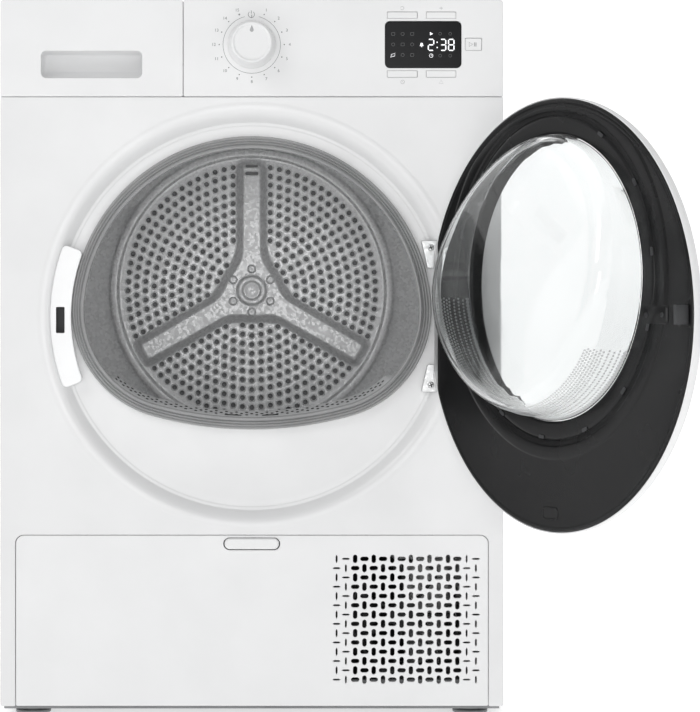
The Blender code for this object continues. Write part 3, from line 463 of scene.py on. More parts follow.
for q in range(5):
    a = PI / 2 * q / 4
    edge.append(s.ring([(p.x, p.y, R * (1 - math.cos(a))) for p in offset(outline, R * (1 - math.sin(a)))]))
edge.append(s.ring([(p.x, p.y, 0.0115 if p.y < zf + 0.02 and abs(p.x) < 0.2815 else 0.012) for p in outline]))
for a, b in zip(edge, edge[1:]):
    s.bridge(a, b)
s.fill([edge[0], rings[-1]])
fp = s.make("front_skin", "enamel", front(0, -0.300, DOOR_Z) @ Matrix.Scale(-1, 4, (0, 0, 1)))
place(fp, "cabinet", "white_enamel", "front_panel")

# ------------------------------------------------------------------ door seal on the cabinet
s = Shape()
prof = [(-0.0004, 0.0005), (-0.0004, 0.0040), (0.0002, 0.0062), (0.0012, 0.0070), (0.0024, 0.0064), (0.0030, 0.0056), (0.0036, 0.0066), (0.0046, 0.0078), (0.0056, 0.0068),
        (0.0062, 0.0058), (0.0068, 0.0070), (0.0078, 0.0084), (0.0088, 0.0074), (0.0094, 0.0062), (0.0100, 0.0074), (0.0112, 0.0096), (0.0124, 0.0106),
        (0.0136, 0.0100), (0.0144, 0.0082), (0.0145, 0.0050), (0.0140, 0.0005), (0.0125, -0.0020), (0.0080, -0.0035)]
rings = [s.ring([(p.x, p.y, h) for p in opening(d)]) for d, h in prof]
for a, b in zip(rings, rings[1:]):
    s.bridge(a, b)
s.bridge(rings[-1], rings[0])
place(s.make("door_seal", "rubber", front(0, -0.2880, DOOR_Z)), "cabinet", "grey_rubber", "door_gasket")

# ------------------------------------------------------------------ lint filter in the opening's sill
s = Shape()


LIP0, LIP1 = 124 + 35 - 15, 124 + 35 + 46 + 15


def sill(u, d):
    """u from 0 to 1 along the opening's sill, d the inset from the opening"""
    f = LIP0 + (LIP1 - LIP0) * u
    i = int(f)
    pts = SILLS.setdefault(round(d, 5), opening(d))
    return pts[i % 240].lerp(pts[(i + 1) % 240], f - i)


SILLS = {}
# profile across the lip: (inset, depth towards the back)
lip = [(0.0090, 0.0030), (0.0128, 0.0012), (0.0142, 0.0010), (0.0150, 0.0020), (0.0158, 0.0040), (0.0176, 0.0092), (0.0194, 0.0144), (0.0206, 0.0180), (0.0207, 0.0196), (0.0198, 0.0205),
       (0.0170, 0.0200), (0.0120, 0.0190), (0.0090, 0.0185)]
steps = 150
rows = []
for i in range(steps + 1):
    u = i / steps
    e = min(1.0, min(u, 1 - u) / 0.03)
    rows.append(s.ring([(*sill(u, 0.0090 + (d - 0.0090) * (0.25 + 0.75 * e)), -h) for d, h in lip]))
for a, b in zip(rows, rows[1:]):
    s.bridge(a, b)
s.face(rows[0][::-1])
s.face(rows[-1])
# three staggered rows of round holes in the lip's slope, each a sunk cup closed by a dark face of painted shade
length = sum((sill((i + 1) / 200, 0.017) - sill(i / 200, 0.017)).length for i in range(200))
count = int(length * 0.93 / 0.0116)
for k, (d, depth) in enumerate(((0.0163, 0.0055), (0.0176, 0.0092), (0.0189, 0.0130))):
    for j in range(count + 1):
        u = 0.035 + 0.93 * (j + (0.5 if k == 1 else 0.0)) / count
        if u > 0.965:
            continue
        c = sill(u, d + 0.00012)
        t = (sill(min(1, u + 0.004), d) - sill(u - 0.004, d)).normalized()
        n = Vector((-t.y, t.x))
        pts = []
        for q in range(12):
            du, dv = 0.0019 * math.cos(q * PI / 6), 0.0019 * math.sin(q * PI / 6)
            pts.append((c.x + t.x * du + n.x * dv * 0.33, c.y + t.y * du + n.y * dv * 0.33, -depth - dv * 0.94))
        s.face(s.ring(pts), 1)
# finger pull recesses in the lip, their faces coloured dark as painted shade
for x0, x1 in ((-0.0325, -0.0118), (0.0118, 0.0318)):
    pts = []
    for x, dd in ((x0, 0.0020), (x1, 0.0020), (x1 - 0.0012, 0.0050), (x0 + 0.0012, 0.0050)):
        z = 0.306 - math.sqrt((0.440 - 0.0152 - (dd - 0.002) * 0.33) ** 2 - x * x) + 0.0002
        pts.append((x, z, -dd))
    s.face(s.ring(pts), 1)
place(s.make("filter_lip", ["light_grey", "painted_slot_shade"], front(0, -0.2845, DOOR_Z), sharp=60), "filter", "grey_plastic")
# frame and mesh below the lip
s = Shape()
fr = rounded(-0.115, 0.190 - DOOR_Z, 0.115, 0.322 - DOOR_Z, 0.010)
wl = rounded(-0.108, 0.197 - DOOR_Z, -0.003, 0.315 - DOOR_Z, 0.008)
wr = rounded(0.003, 0.197 - DOOR_Z, 0.108, 0.315 - DOOR_Z, 0.008)
plate(s, fr, [wl, wr], 0.012, 0.001)
for x0, x1 in ((-0.108, -0.003), (0.003, 0.108)):
    n = 26
    for i in range(1, n):
        x = x0 + (x1 - x0) * i / n
        s.block((x - 0.0003, 0.197 - DOOR_Z, -0.0064), (x + 0.0003, 0.315 - DOOR_Z, -0.0056), 1, 0.0001)
    n = 29
    for i in range(1, n):
        z = 0.197 - DOOR_Z + 0.118 * i / n
        s.block((x0, z - 0.0003, -0.0058), (x1, z + 0.0003, -0.0050), 1, 0.0001)
place(s.make("filter_frame", ["grey", "light_grey"], front(0, -0.2671, DOOR_Z)), "filter", "grey_plastic", "lint_filter")

# ------------------------------------------------------------------ drum
s = Shape()
N = 176
shell = [(0.2760, -0.2460), (0.2780, -0.2466), (0.2812, -0.2462), (0.2834, -0.2446), (0.2840, -0.2420)]
for y in (-0.205, -0.150, 0.130, 0.165):
    shell += [(0.2840, y - 0.006), (0.2836, y - 0.003), (0.2826, y), (0.2836, y + 0.003), (0.2840, y + 0.006)]
shell += [(0.2840, 0.1940), (0.2838, 0.1980), (0.2826, 0.1994), (0.2818, 0.1980), (0.2816, 0.1930)]
for y in (0.165, 0.130, -0.150, -0.205):
    shell += [(0.2828, y + 0.006), (0.2824, y + 0.003), (0.2814, y), (0.2824, y - 0.003), (0.2828, y - 0.006)]
shell += [(0.2828, -0.2400), (0.2818, -0.2440), (0.2790, -0.2452), (0.2762, -0.2450)]
lathe(s, shell, N, closed=True)
place(s.make("drum_skin", "drum", Matrix.Translation((0, 0, DRUM_Z)) @ Matrix.Rotation(-PI / 2, 4, "X") @ Matrix.Rotation(0, 4, "Z")), "drum", "drum_steel", "drum_shell")

# lifters: hollow rounded ridges that taper at both ends
for k, deg in enumerate((30, 150, 270)):
    s = Shape()
    rows = []
    for i in range(25):
        u = i / 24
        y = -0.205 + 0.370 * u
        e = min(1.0, min(u, 1 - u) / 0.14)
        e = math.sin(e * PI / 2) ** 0.8
        h = 0.043 * (0.30 + 0.70 * e) if 0 < i < 24 else 0.006
        w = 0.0300 * (0.75 + 0.25 * e)
        sec = []
        for j in range(17):
            q = -1 + 2 * j / 16
            hh = h * max(0.0, (math.cos(q * PI / 2)) ** 0.72)
            base = math.sqrt(0.2801 ** 2 - (q * w) ** 2)
            sec.append((q * w, y, -(base - hh)))
        sec += [(w * 0.96, y, -math.sqrt(0.2801 ** 2 - w * w) - 0.0003), (-w * 0.96, y, -math.sqrt(0.2801 ** 2 - w * w) - 0.0003)]
        rows.append(s.ring(sec))
    for a, b in zip(rows, rows[1:]):
        s.bridge(a, b)
    s.face(rows[0])
    s.face(rows[-1])
    for i in range(5):
        yy = -0.15 + 0.065 * i
        for sx in (-1, 1):
            pass
    m = Matrix.Translation((0, 0, DRUM_Z)) @ Matrix.Rotation(-rad(deg - 270), 4, "Y")
    place(s.make(f"lifter_{k + 1}", "light_grey", m), "drum", node_slot[f"drum_lifter_{k + 1}"], f"drum_lifter_{k + 1}")

# rear wall of the drum: dished disc, star and hub pressed out of it, a field of raised perforations
Y_DISC, PITCH = 0.193, 0.01262
ARMS = (90, 210, 330)


def smooth_min(a, b, k):
    h = max(0.0, min(1.0, 0.5 + 0.5 * (b - a) / k))
    return b + (a - b) * h - k * h * (1 - h)


def star_height(x, y):
    """how far the pressed star stands out of the disc towards the front"""
    d = math.hypot(x, y) - 0.0330
    for deg in ARMS:
        ux, uy = math.cos(rad(deg)), math.sin(rad(deg))
        along, across = x * ux + y * uy, abs(-x * uy + y * ux)
        qx, qy = max(0.0, along - 0.1700, -along), across - 0.0085
        d = smooth_min(d, math.hypot(max(qx, 0), max(qy, 0)) - 0.0030 if qx > 0 or qy > 0 else qy - 0.0030, 0.026)
    t = max(0.0, min(1.0, 1 - d / 0.0108))
    return 0.0125 * t * t * (3 - 2 * t)


s = Shape()
NA = 432
radii = [0.0225, 0.0232] + [0.026 + 0.0021 * i for i in range(72)]
radii = [r for r in radii if r < 0.1775] + [0.1782, 0.1800, 0.1830, 0.1856]
prev = None
for r in radii:
    ring = s.ring([(r * math.cos(2 * PI * i / NA), r * math.sin(2 * PI * i / NA), star_height(r * math.cos(2 * PI * i / NA), r * math.sin(2 * PI * i / NA))) for i in range(NA)])
    if prev:
        s.bridge(prev, ring)
    prev = ring
for r, h in ((0.1864, 0.0004), (0.1876, 0.0028), (0.1888, 0.0040), (0.1905, 0.0042), (0.1960, 0.0042), (0.1975, 0.0038), (0.1990, 0.0022), (0.2002, 0.0004), (0.2014, 0.0), (0.2040, -0.0010),
             (0.2100, -0.0020), (0.2300, -0.0028), (0.2600, -0.0030), (0.2740, -0.0026), (0.2790, -0.0006), (0.2808, 0.0030), (0.2812, 0.0040)):
    ring = s.ring([(r * math.cos(2 * PI * i / NA), r * math.sin(2 * PI * i / NA), h) for i in range(NA)])
    s.bridge(prev, ring)
    prev = ring
# hub cap
lathe(s, [(0.0232, 0.0125), (0.0226, 0.0116), (0.0214, 0.0113), (0.0206, 0.0122), (0.0196, 0.0140), (0.0180, 0.0146), (0.0135, 0.0147), (0.0122, 0.0138), (0.0114, 0.0125), (0.0106, 0.0124),
          (0.0085, 0.0130), (0.0040, 0.0133), (0, 0.0134)], 48)
for i in range(6):
    a = rad(90 + 60 * i)
    x, y = 0.0300 * math.cos(a), 0.0300 * math.sin(a)
    lathe(s, [(0.0064, 0.0124), (0.0062, 0.0134), (0.0052, 0.0146), (0.0034, 0.0152), (0.0016, 0.0150), (0, 0.0146)], 20, 0, x, y)
# two slots across the end of the upper arm, their floors a dark colour of painted shade
for y0, y1, w in ((0.1745, 0.1800, 0.0090), (0.1640, 0.1695, 0.0096)):
    ring = rounded(-w, y0 - 0.003, w, y1 - 0.003, 0.0020, 4)
    a = s.ring([(p.x, p.y, 0.01262) for p in offset(ring, -0.0008)])
    b = s.ring([(p.x, p.y, 0.01310) for p in ring])
    c = s.ring([(p.x, p.y, 0.01275) for p in offset(ring, 0.0006)])
    s.bridge(a, b)
    s.bridge(b, c)
    s.face(c, 1)
# perforations: rings of 6n, each a raised collar round a hole closed by a dark disc of painted shade
for n in range(4, 15):
    for k in range(6 * n):
        a = rad(30) + 2 * PI * k / (6 * n)
        side, frac = divmod(k, n)
        # between a hexagon and a circle
        hexr = math.cos(PI / 6) / math.cos((frac / n) * PI / 3 - PI / 6)
        rr = n * PITCH * (0.90 + 0.10 * hexr) / (0.90 + 0.10) * (1.0 if n < 14 else 0.996)
        x, y = rr * math.cos(a), rr * math.sin(a)
        if star_height(x, y) > 0.0002 or star_height(x * 1.02, y * 1.02) > 0.0004 or star_height(x + 0.004, y) > 0.0006 or star_height(x - 0.004, y) > 0.0006:
            continue
        h0 = 0.0
        rg = [s.ring([(x + q * math.cos(i * PI / 6), y + q * math.sin(i * PI / 6), h0 + h) for i in range(12)])
              for q, h in ((0.00535, -0.00005), (0.0050, 0.0004), (0.0044, 0.0009), (0.0038, 0.0008), (0.0034, 0.0002))]
        for p, q in zip(rg, rg[1:]):
            s.bridge(p, q)
        s.face(rg[-1], 1)
o = s.make("drum_rear_wall", ["spangle", "painted_hole_shade"], front(0, Y_DISC, DRUM_Z), weld=1e-7, sharp=60)
place(o, "drum", node_slot["drum_back"], "drum_back")

# ------------------------------------------------------------------ console
s = Shape()
DISPLAY = rounded(0.1575, 0.7600, 0.2483, 0.8159, 0.0060, 6)
keys = {"option_key_1": (0.1604, 0.8192, 0.1960, 0.8266), "option_key_2": (0.2066, 0.8192, 0.2416, 0.8266), "option_key_3": (0.1604, 0.7492, 0.1960, 0.7570),
        "option_key_4": (0.2066, 0.7492, 0.2416, 0.7570), "start_key": (0.2528, 0.7811, 0.2722, 0.7955)}
holes = [circle(0.0240, 56, 0, DIAL_Z), DISPLAY] + [rounded(a - 0.0003, b - 0.0003, c + 0.0003, d + 0.0003, 0.0012, 4) for a, b, c, d in keys.values()]
plate(s, rounded(-0.0808, 0.7267, 0.298, 0.841, (0.0018, 0.0040, 0.0018, 0.0018), 5), holes, 0.0030, 0.0011, 0.0003)
rim = rounded(-0.0808, 0.7267, 0.298, 0.841, (0.0018, 0.0040, 0.0018, 0.0018), 5)
a = s.ring([(p.x, p.y, -0.0029) for p in rim])
b = s.ring([(p.x, p.y, -0.0125) for p in rim])
s.bridge(a, b)
b2 = s.ring([(p.x, p.y, -0.0125) for p in offset(rim, 0.0018)])
s.bridge(b, b2)
place(s.make("console_face", "case", front(0, -0.3020, 0)), "cabinet", "white_plastic", "console_panel")

# printed marks: dial ring, stops and numbers, key brackets and icons
s = Shape()
ribbon(s, arc(0, DIAL_Z, 0.0340, 104, 436, 110), 0.00045, 0)
ribbon(s, [(0, DIAL_Z + 0.0355), (0, DIAL_Z + 0.0315)], 0.0007, 0)
pc = at(251.2, 14.5)
ribbon(s, arc(pc.x, pc.y, 0.0037, 128, 412, 30), 0.0006, 0)
ribbon(s, [(pc.x, pc.y + 0.0047), (pc.x, pc.y + 0.0008)], 0.0006, 0)
for k in range(1, 16):
    a = rad(90 - 22.5 * k)
    disc(s, 0.0385 * math.cos(a), DIAL_Z + 0.0385 * math.sin(a), 0.00105 if k in (15,) else 0.00075, 0)


def text(body, x, z, size, name):
    c = bpy.data.curves.new(name, "FONT")
    c.body = body
    c.size = size
    c.align_x = "CENTER"
    c.align_y = "CENTER"
    c.resolution_u = 3
    o = bpy.data.objects.new(name, c)
    bpy.context.scene.collection.objects.link(o)
    bpy.context.view_layer.update()
    me = bpy.data.meshes.new_from_object(o.evaluated_get(bpy.context.evaluated_depsgraph_get()))
    bpy.data.objects.remove(o)
    return [(v.co.x + x, v.co.y + z, 0.0) for v in me.vertices], [tuple(p.vertices) for p in me.polygons], me


def print_text(s, body, x, z, size, m=0):
    vs, fs, me = text(body, x, z, size, "numeral")
    base = len(s.v)
    s.v += vs
    for f in fs:
        s.face([base + i for i in f], m)
    bpy.data.meshes.remove(me)


for k in range(1, 16):
    a = rad(90 - 22.5 * k)
    print_text(s, str(k), 0.0450 * math.cos(a), DIAL_Z + 0.0440 * math.sin(a), 0.0050)


def bracket(px0, py0, px1, py1, gap):
    a, b = at(px0, py0), at(px1, py1)
    x0, x1, top, low = a.x, b.x, a.y, b.y
    r = 0.0016
    if gap == "low":
        pts = [(x0, low), (x0, top - r), *[tuple(p) for p in arc(x0 + r, top - r, r, 180, 90, 5)], *[tuple(p) for p in arc(x1 - r, top - r, r, 90, 0, 5)], (x1, low)]
    elif gap == "top":
        pts = [(x0, top), (x0, low + r), *[tuple(p) for p in arc(x0 + r, low + r, r, 180, 270, 5)], *[tuple(p) for p in arc(x1 - r, low + r, r, 270, 360, 5)], (x1, top)]
    else:
        pts = [(x0, low + 0.001), (x0, low + 0.002)] if False else [(x0 + 0.003, top), *[tuple(p) for p in arc(x1 - r, top - r, r, 90, 0, 5)], *[tuple(p) for p in arc(x1 - r, low + r, r, 0, -90, 5)], (x0 + 0.003, low)]
    return pts


for args in ((387, 12.2, 417, 18.6, "low"), (426, 12.2, 455.7, 18.6, "low"), (387, 71, 417, 77.6, "top"), (426, 71, 455.7, 77.6, "top")):
    ribbon(s, bracket(*args), 0.00040, 1)
c0, c1 = at(465, 38.4), at(481.4, 50.6)
ribbon(s, rounded(c0.x, c1.y, c1.x, c0.y, 0.0018, 5), 0.00040, 1, closed=True)
p = at(471.2, 44.5)
ribbon(s, [(p.x - 0.0026, p.y + 0.0024), (p.x + 0.0016, p.y), (p.x - 0.0026, p.y - 0.0024)], 0.00050, 0, closed=True)
for dx in (0.0036, 0.0054):
    ribbon(s, [(p.x + dx, p.y + 0.0024), (p.x + dx, p.y - 0.0024)], 0.00060, 0)
# small generic key icons
p = at(402.5, 82)
ribbon(s, circle(0.0022, 20, p.x, p.y), 0.00045, 1, closed=True)
ribbon(s, [(p.x, p.y + 0.0013), (p.x, p.y), (p.x + 0.0010, p.y - 0.0006)], 0.00040, 1)
p = at(441, 82)
ribbon(s, [(p.x - 0.0024, p.y - 0.0018), (p.x, p.y + 0.0022), (p.x + 0.0024, p.y - 0.0018)], 0.00045, 1, closed=True)
p = at(402, 8.2)
ribbon(s, arc(p.x, p.y, 0.0020, 200, 520, 18), 0.00045, 1)
p = at(441, 8.2)
ribbon(s, [(p.x - 0.0022, p.y), (p.x + 0.0022, p.y)], 0.00045, 1)
ribbon(s, [(p.x, p.y - 0.0018), (p.x, p.y + 0.0018)], 0.00045, 1)
place(s.make("console_print", ["ink", "pale_ink"], front(0, -0.30206, 0), sharp=180), "cabinet", "white_plastic")

# display lens with its lit time and unlit icons
s = Shape()
lens = offset(DISPLAY, 0.0005)
plate(s, lens, [], 0.0058, 0.0006)
place(s.make("display_lens", "screen", front(0, -0.3017, 0)), "cabinet", "display_glass", "display_window")

s = Shape()
SEG = {"a": ((0, 2), (1, 2)), "b": ((1, 2), (1, 1)), "c": ((1, 1), (1, 0)), "d": ((0, 0), (1, 0)), "e": ((0, 1), (0, 0)), "f": ((0, 2), (0, 1)), "g": ((0, 1), (1, 1))}
DIG = {"2": "abged", "3": "abgcd", "8": "abcdefg"}


def digit(ch, px0, px1, py0, py1):
    lo, hi = at(px0, py1), at(px1, py0)
    w, h, t = hi.x - lo.x, (hi.y - lo.y) / 2, 0.00135
    for g in DIG[ch]:
        (ax, ay), (bx, by) = SEG[g]
        a, b = Vector((lo.x + ax * w, lo.y + ay * h)), Vector((lo.x + bx * w, lo.y + by * h))
        d = (b - a).normalized()
        a, b = a + d * 0.0004, b - d * 0.0004
        nrm = Vector((-d.y, d.x)) * t / 2
        poly(s, [a, a + d * t / 2 - nrm, b - d * t / 2 - nrm, b, b - d * t / 2 + nrm, a + d * t / 2 + nrm], 0)


digit("2", 428.2, 433.6, 39.4, 50.4)
digit("3", 440.4, 445.6, 39.4, 50.4)
digit("8", 448.4, 453.8, 39.4, 50.4)
for py in (42.3, 47.6):
    p = at(437, py)
    disc(s, p.x, p.y, 0.0008, 0, 10)
p = at(431.2, 33.8)
poly(s, [(p.x - 0.0016, p.y - 0.0020), (p.x + 0.0020, p.y), (p.x - 0.0016, p.y + 0.0020)], 0)
p = at(421.5, 44.7)
poly(s, [(p.x - 0.0024, p.y - 0.0016), (p.x + 0.0024, p.y - 0.0016), (p.x + 0.0017, p.y - 0.0006), (p.x + 0.0013, p.y + 0.0016), (p.x, p.y + 0.0024), (p.x - 0.0013, p.y + 0.0016), (p.x - 0.0017, p.y - 0.0006)], 0)
disc(s, p.x, p.y - 0.0024, 0.0006, 0, 8)
p = at(431, 55.7)
ribbon(s, circle(0.0021, 20, p.x, p.y), 0.00045, 0, closed=True)
ribbon(s, [(p.x, p.y + 0.0013), (p.x, p.y), (p.x + 0.0011, p.y)], 0.00040, 0)
p = at(392.8, 55.5)
ribbon(s, [(p.x - 0.0026, p.y - 0.0024), (p.x - 0.0018, p.y + 0.0012), (p.x + 0.0024, p.y + 0.0026), (p.x + 0.0020, p.y - 0.0008), (p.x - 0.0012, p.y - 0.0014)], 0.00050, 0, closed=True)
for ix, px in enumerate((393, 402.5, 412)):
    for iy, py in enumerate((34, 44.5, 55)):
        if (ix, iy) == (0, 2):
            continue
        p = at(px, py)
        if (ix + iy) % 2:
            ribbon(s, circle(0.0019, 12, p.x, p.y), 0.00040, 1, closed=True)
        else:
            ribbon(s, rounded(p.x - 0.0019, p.y - 0.0017, p.x + 0.0019, p.y + 0.0017, 0.0006, 3), 0.00040, 1, closed=True)
for px, py in ((440, 33.8), (450, 33.8), (440, 55.7), (450, 55.7)):
    p = at(px, py)
    ribbon(s, circle(0.0017, 12, p.x, p.y), 0.00040, 1, closed=True)
place(s.make("display_marks", ["glow", "dim"], front(0, -0.30178, 0), sharp=180), "cabinet", "display_glass")

# keys
for name, (a, b, c, d) in keys.items():
    s = Shape()
    plate(s, rounded(a, b, c, d, 0.0011, 4), [], 0.0100, 0.0005)
    body = "key_start" if name == "start_key" else f"key_{name[-1]}"
    place(s.make(name.replace("option_key", "press_key").replace("start_key", "press_key_start"), "case", front(0, -0.30185, 0)), body, "white_plastic", name)

# dial
s = Shape()
prof = [(0, 0.0242), (0.0100, 0.02415), (0.0196, 0.02400), (0.0206, 0.02405), (0.0211, 0.0246), (0.0217, 0.0251), (0.0225, 0.0252), (0.0234, 0.0248), (0.0240, 0.0240), (0.0244, 0.0226),
        (0.0268, 0.0110), (0.0283, 0.0030), (0.0285, 0.0012), (0.0282, 0.0005), (0.0225, 0.0004), (0.0225, -0.0060), (0.0030, -0.0060), (0.0030, -0.0130), (0, -0.0130)]
lathe(s, prof, 96)
drop = [(0, 0.0193), *[(0.0021 * math.cos(rad(a)), 0.0142 + 0.0021 * math.sin(rad(a))) for a in range(150, 391, 20)]]
drop = [Vector(p) for p in drop]
rg = [s.ring([(p.x, p.y, h) for p in offset(drop, d)]) for d, h in ((-0.0003, 0.02402), (0.0, 0.02425), (0.0003, 0.02435))]
s.bridge(rg[0], rg[1], 1)
s.bridge(rg[1], rg[2], 1)
s.face(rg[2], 1)
place(s.make("dial_knob", ["case", "pale_ink"], front(0, -0.3020, DIAL_Z), sharp=50), "dial", "white_plastic", "program_dial")

# ------------------------------------------------------------------ tank drawer front with its grip
s = Shape()
grip = rounded(-0.2494, 0.7486, -0.1298, 0.7806, 0.0060, 7)
outer = rounded(-0.2978, 0.7267, -0.0814, 0.841, (0.0018, 0.0018, 0.0040, 0.0018), 5)
plate(s, outer, [grip], 0.0120, 0.0011, 0.0008, back=False)
depths = [(0.0, -0.0008), (0.0001, -0.0060), (0.0003, -0.0200), (0.0012, -0.0262), (0.0032, -0.0282)]
pr = None
for k, (d, h) in enumerate(depths):
    loop = offset(grip, d)
    u = min(1.0, -h / 0.0282)
    pts = []
    for p in loop:
        # the floor of the grip rises towards the back
        t = (p.y - 0.7486) / 0.032
        pts.append((p.x, p.y + (1 - t) * 0.0085 * u ** 1.4, h))
    ring = s.ring(pts)
    if pr:
        s.bridge(pr, ring)
    pr = ring
s.face(pr)
place(s.make("tank_drawer_face", "case", front(0, -0.3020, 0), sharp=50), "water_tank_drawer", "white_plastic", "tank_front")

# ------------------------------------------------------------------ service flap, its grille and handle
PIT = 0.0110
gx0, gz0 = 0.0950, 0.0306
gx1, gz1 = gx0 + 16 * PIT, gz0 + 14 * PIT
s = Shape()
outer = rounded(-0.2793, 0.0050, 0.2799, 0.2069, (0.0020, 0.0095, 0.0095, 0.0020), 8)
pill = rounded(-0.0335, 0.1895, 0.0335, 0.2042, 0.0072, 8)
window = []
for i in range(64):
    window.append(Vector((gx0 + (gx1 - gx0) * i / 64, gz0)))
for i in range(56):
    window.append(Vector((gx1, gz0 + (gz1 - gz0) * i / 56)))
for i in range(64):
    window.append(Vector((gx1 - (gx1 - gx0) * i / 64, gz1)))
for i in range(56):
    window.append(Vector((gx0, gz1 - (gz1 - gz0) * i / 56)))
fronts, backs = [], []
for k, loop in enumerate([outer, pill]):
    sg = 1 if k == 0 else -1
    rr = 0.0011 if k == 0 else 0.0007
    rg = [s.ring([(p.x, p.y, 0.0) for p in offset(loop, sg * (rr + 0.0004))])]
    for q in range(5):
        a = PI / 2 * q / 4
        rg.append(s.ring([(p.x, p.y, -rr * (1 - math.cos(a))) for p in offset(loop, sg * rr * (1 - math.sin(a)))]))
    rg.append(s.ring([(p.x, p.y, -0.0030 if k == 0 else -0.0100) for p in loop]))
    for a, b in zip(rg, rg[1:]):
        s.bridge(a, b)
    fronts.append(rg[0])
    backs.append(s.ring([(p.x, p.y, -0.0030) for p in loop]))
wf = s.ring([(p.x, p.y, 0.0) for p in window])
wb = s.ring([(p.x, p.y, -0.0030) for p in window])
s.fill(fronts + [wf])
s.fill(backs + [wb])
place(s.make("flap_face", "case", front(0, -0.3005, 0)), "flap", "white_plastic", "service_flap")

s = Shape()


def capsule(cx, cz, w, h, n=16):
    """n points round a stadium, spread by direction from its centre"""
    out = []
    r = min(w, h) / 2
    for i in range(n):
        a = 2 * PI * i / n
        dx, dz = math.cos(a), math.sin(a)
        best = None
        # straight march to the capsule's edge
        lo, hi = 0.0, max(w, h)
        for _ in range(26):
            mid = (lo + hi) / 2
            x, z = dx * mid, dz * mid
            ex, ez = max(0, abs(x) - (w / 2 - r)), max(0, abs(z) - (h / 2 - r))
            if math.hypot(ex, ez) < r:
                lo = mid
            else:
                hi = mid
        out.append((cx + dx * lo, cz + dz * lo))
    return out


for i in range(16):
    for j in range(14):
        x0, z0c = gx0 + i * PIT, gz0 + (13 - j) * PIT
        cx, cz = x0 + PIT / 2, z0c + PIT / 2
        vertical = (i + j) % 2 == 0
        wide = 0.0022 if i in (0, 1, 14, 15) else 0.0052
        w, h = (wide, 0.0101) if vertical else (0.0101, wide)
        n = 16
        sq = []
        for q in range(16):
            a = 2 * PI * q / 16
            dx, dz = math.cos(a), math.sin(a)
            k = (PIT / 2) / max(abs(dx), abs(dz))
            # snap to the four-to-a-side grid so neighbours share their points
            X, Z = dx * k, dz * k
            if abs(dx) >= abs(dz):
                Z = round(Z / (PIT / 4)) * PIT / 4
            else:
                X = round(X / (PIT / 4)) * PIT / 4
            sq.append((cx + X, cz + Z))
        cap0 = capsule(cx, cz, w, h)
        cap1 = capsule(cx, cz, w + 0.0006, h + 0.0006)
        r0 = s.ring([(x, z, 0.0) for x, z in sq])
        r1 = s.ring([(x, z, 0.0) for x, z in cap1])
        r2 = s.ring([(x, z, -0.0004) for x, z in cap0])
        r3 = s.ring([(x, z, -0.0030) for x, z in cap0])
        r4 = s.ring([(x, z, -0.0030) for x, z in sq])
        s.bridge(r0, r1)
        s.bridge(r1, r2)
        s.bridge(r2, r3)
        s.bridge(r3, r4)
place(s.make("flap_vent", "case", front(0, -0.3005, 0), weld=2e-6), "flap", "white_plastic", "flap_grille")

s = Shape()
plate(s, rounded(-0.0322, 0.1907, 0.0322, 0.2036, 0.0062, 8), [], 0.0070, 0.0022, steps=5)
place(s.make("flap_pull", "case", front(0, -0.3036, 0)), "flap_latch", "white_plastic", "flap_handle")

# ------------------------------------------------------------------ latch bezel and hinge plates on the cabinet
s = Shape()
outl = [Vector((0.2386 * math.cos(rad(a)), 0.2386 * math.sin(rad(a)))) for a in [159 + 3 * i for i in range(15)]]
inl = [Vector((0.2140 * math.cos(rad(a)), 0.2140 * math.sin(rad(a)))) for a in [201 - 3 * i for i in range(15)]]
band = soften(outl + inl, [0.009] + [0] * 13 + [0.009, 0.009] + [0] * 13 + [0.009], 6)
slot = rounded(-0.2317, 0.4466 - DOOR_Z, -0.2217, 0.4774 - DOOR_Z, 0.0012, 3)
slits = [rounded(-0.2401, z - 0.0026, -0.2391, z + 0.0026, 0.0003, 2) for z in ()]
plate(s, band, [slot], 0.0125, 0.0010, 0.0005)
a = s.ring([(q.x, q.y, -0.0011) for q in offset(slot, 0.0002)])
b = s.ring([(q.x, q.y, -0.0100) for q in offset(slot, 0.0004)])
s.bridge(a, b, 1)
s.face(b, 1)
place(s.make("latch_plate", ["gloss_white", "black_matt"], front(0, -0.3007, DOOR_Z), sharp=45), "cabinet", "white_plastic", "latch_bezel")

for name, sg in (("hinge_bracket_upper", 1), ("hinge_bracket_lower", -1)):
    s = Shape()
    pts = [(0.2085, 0.0570), (0.2255, 0.0570), (0.2255, 0.0900), (0.2010, 0.0900)]
    pts = [(x, sg * y) for x, y in pts]
    if sg < 0:
        pts.reverse()
    plate(s, soften(pts, 0.0020, 4), [], 0.0050, 0.0007)
    # screw with its cross recess coloured as painted shade
    screw(s, 0.2125, sg * 0.0815, 0.0040, 0.0, 0, 1)
    for off in (0.0580, 0.0850):
        lo, hi = sorted((sg * off, sg * (off + 0.0030)))
        s.block((0.2205, lo, -0.0040), (0.2253, hi, 0.0155), 0, 0.0005)
    o = s.make(name.replace("hinge_bracket", "hinge_plate"), ["zinc", "painted_slot_shade"], front(0, -0.2960, DOOR_Z), sharp=45)
    place(o, "cabinet", "zinc_steel", name)
    s = Shape()
    lathe(s, [(0, -0.0148), (0.0016, -0.0148), (0.0021, -0.0143), (0.0021, 0.0143), (0.0016, 0.0148), (0, 0.0148)], 24)
    o = s.make(f"hinge_pin_{'upper' if sg > 0 else 'lower'}", "screw", Matrix.Translation((HINGE.x, HINGE.y, DOOR_Z + sg * 0.0730)), sharp=45)
    place(o, "cabinet", "zinc_steel")

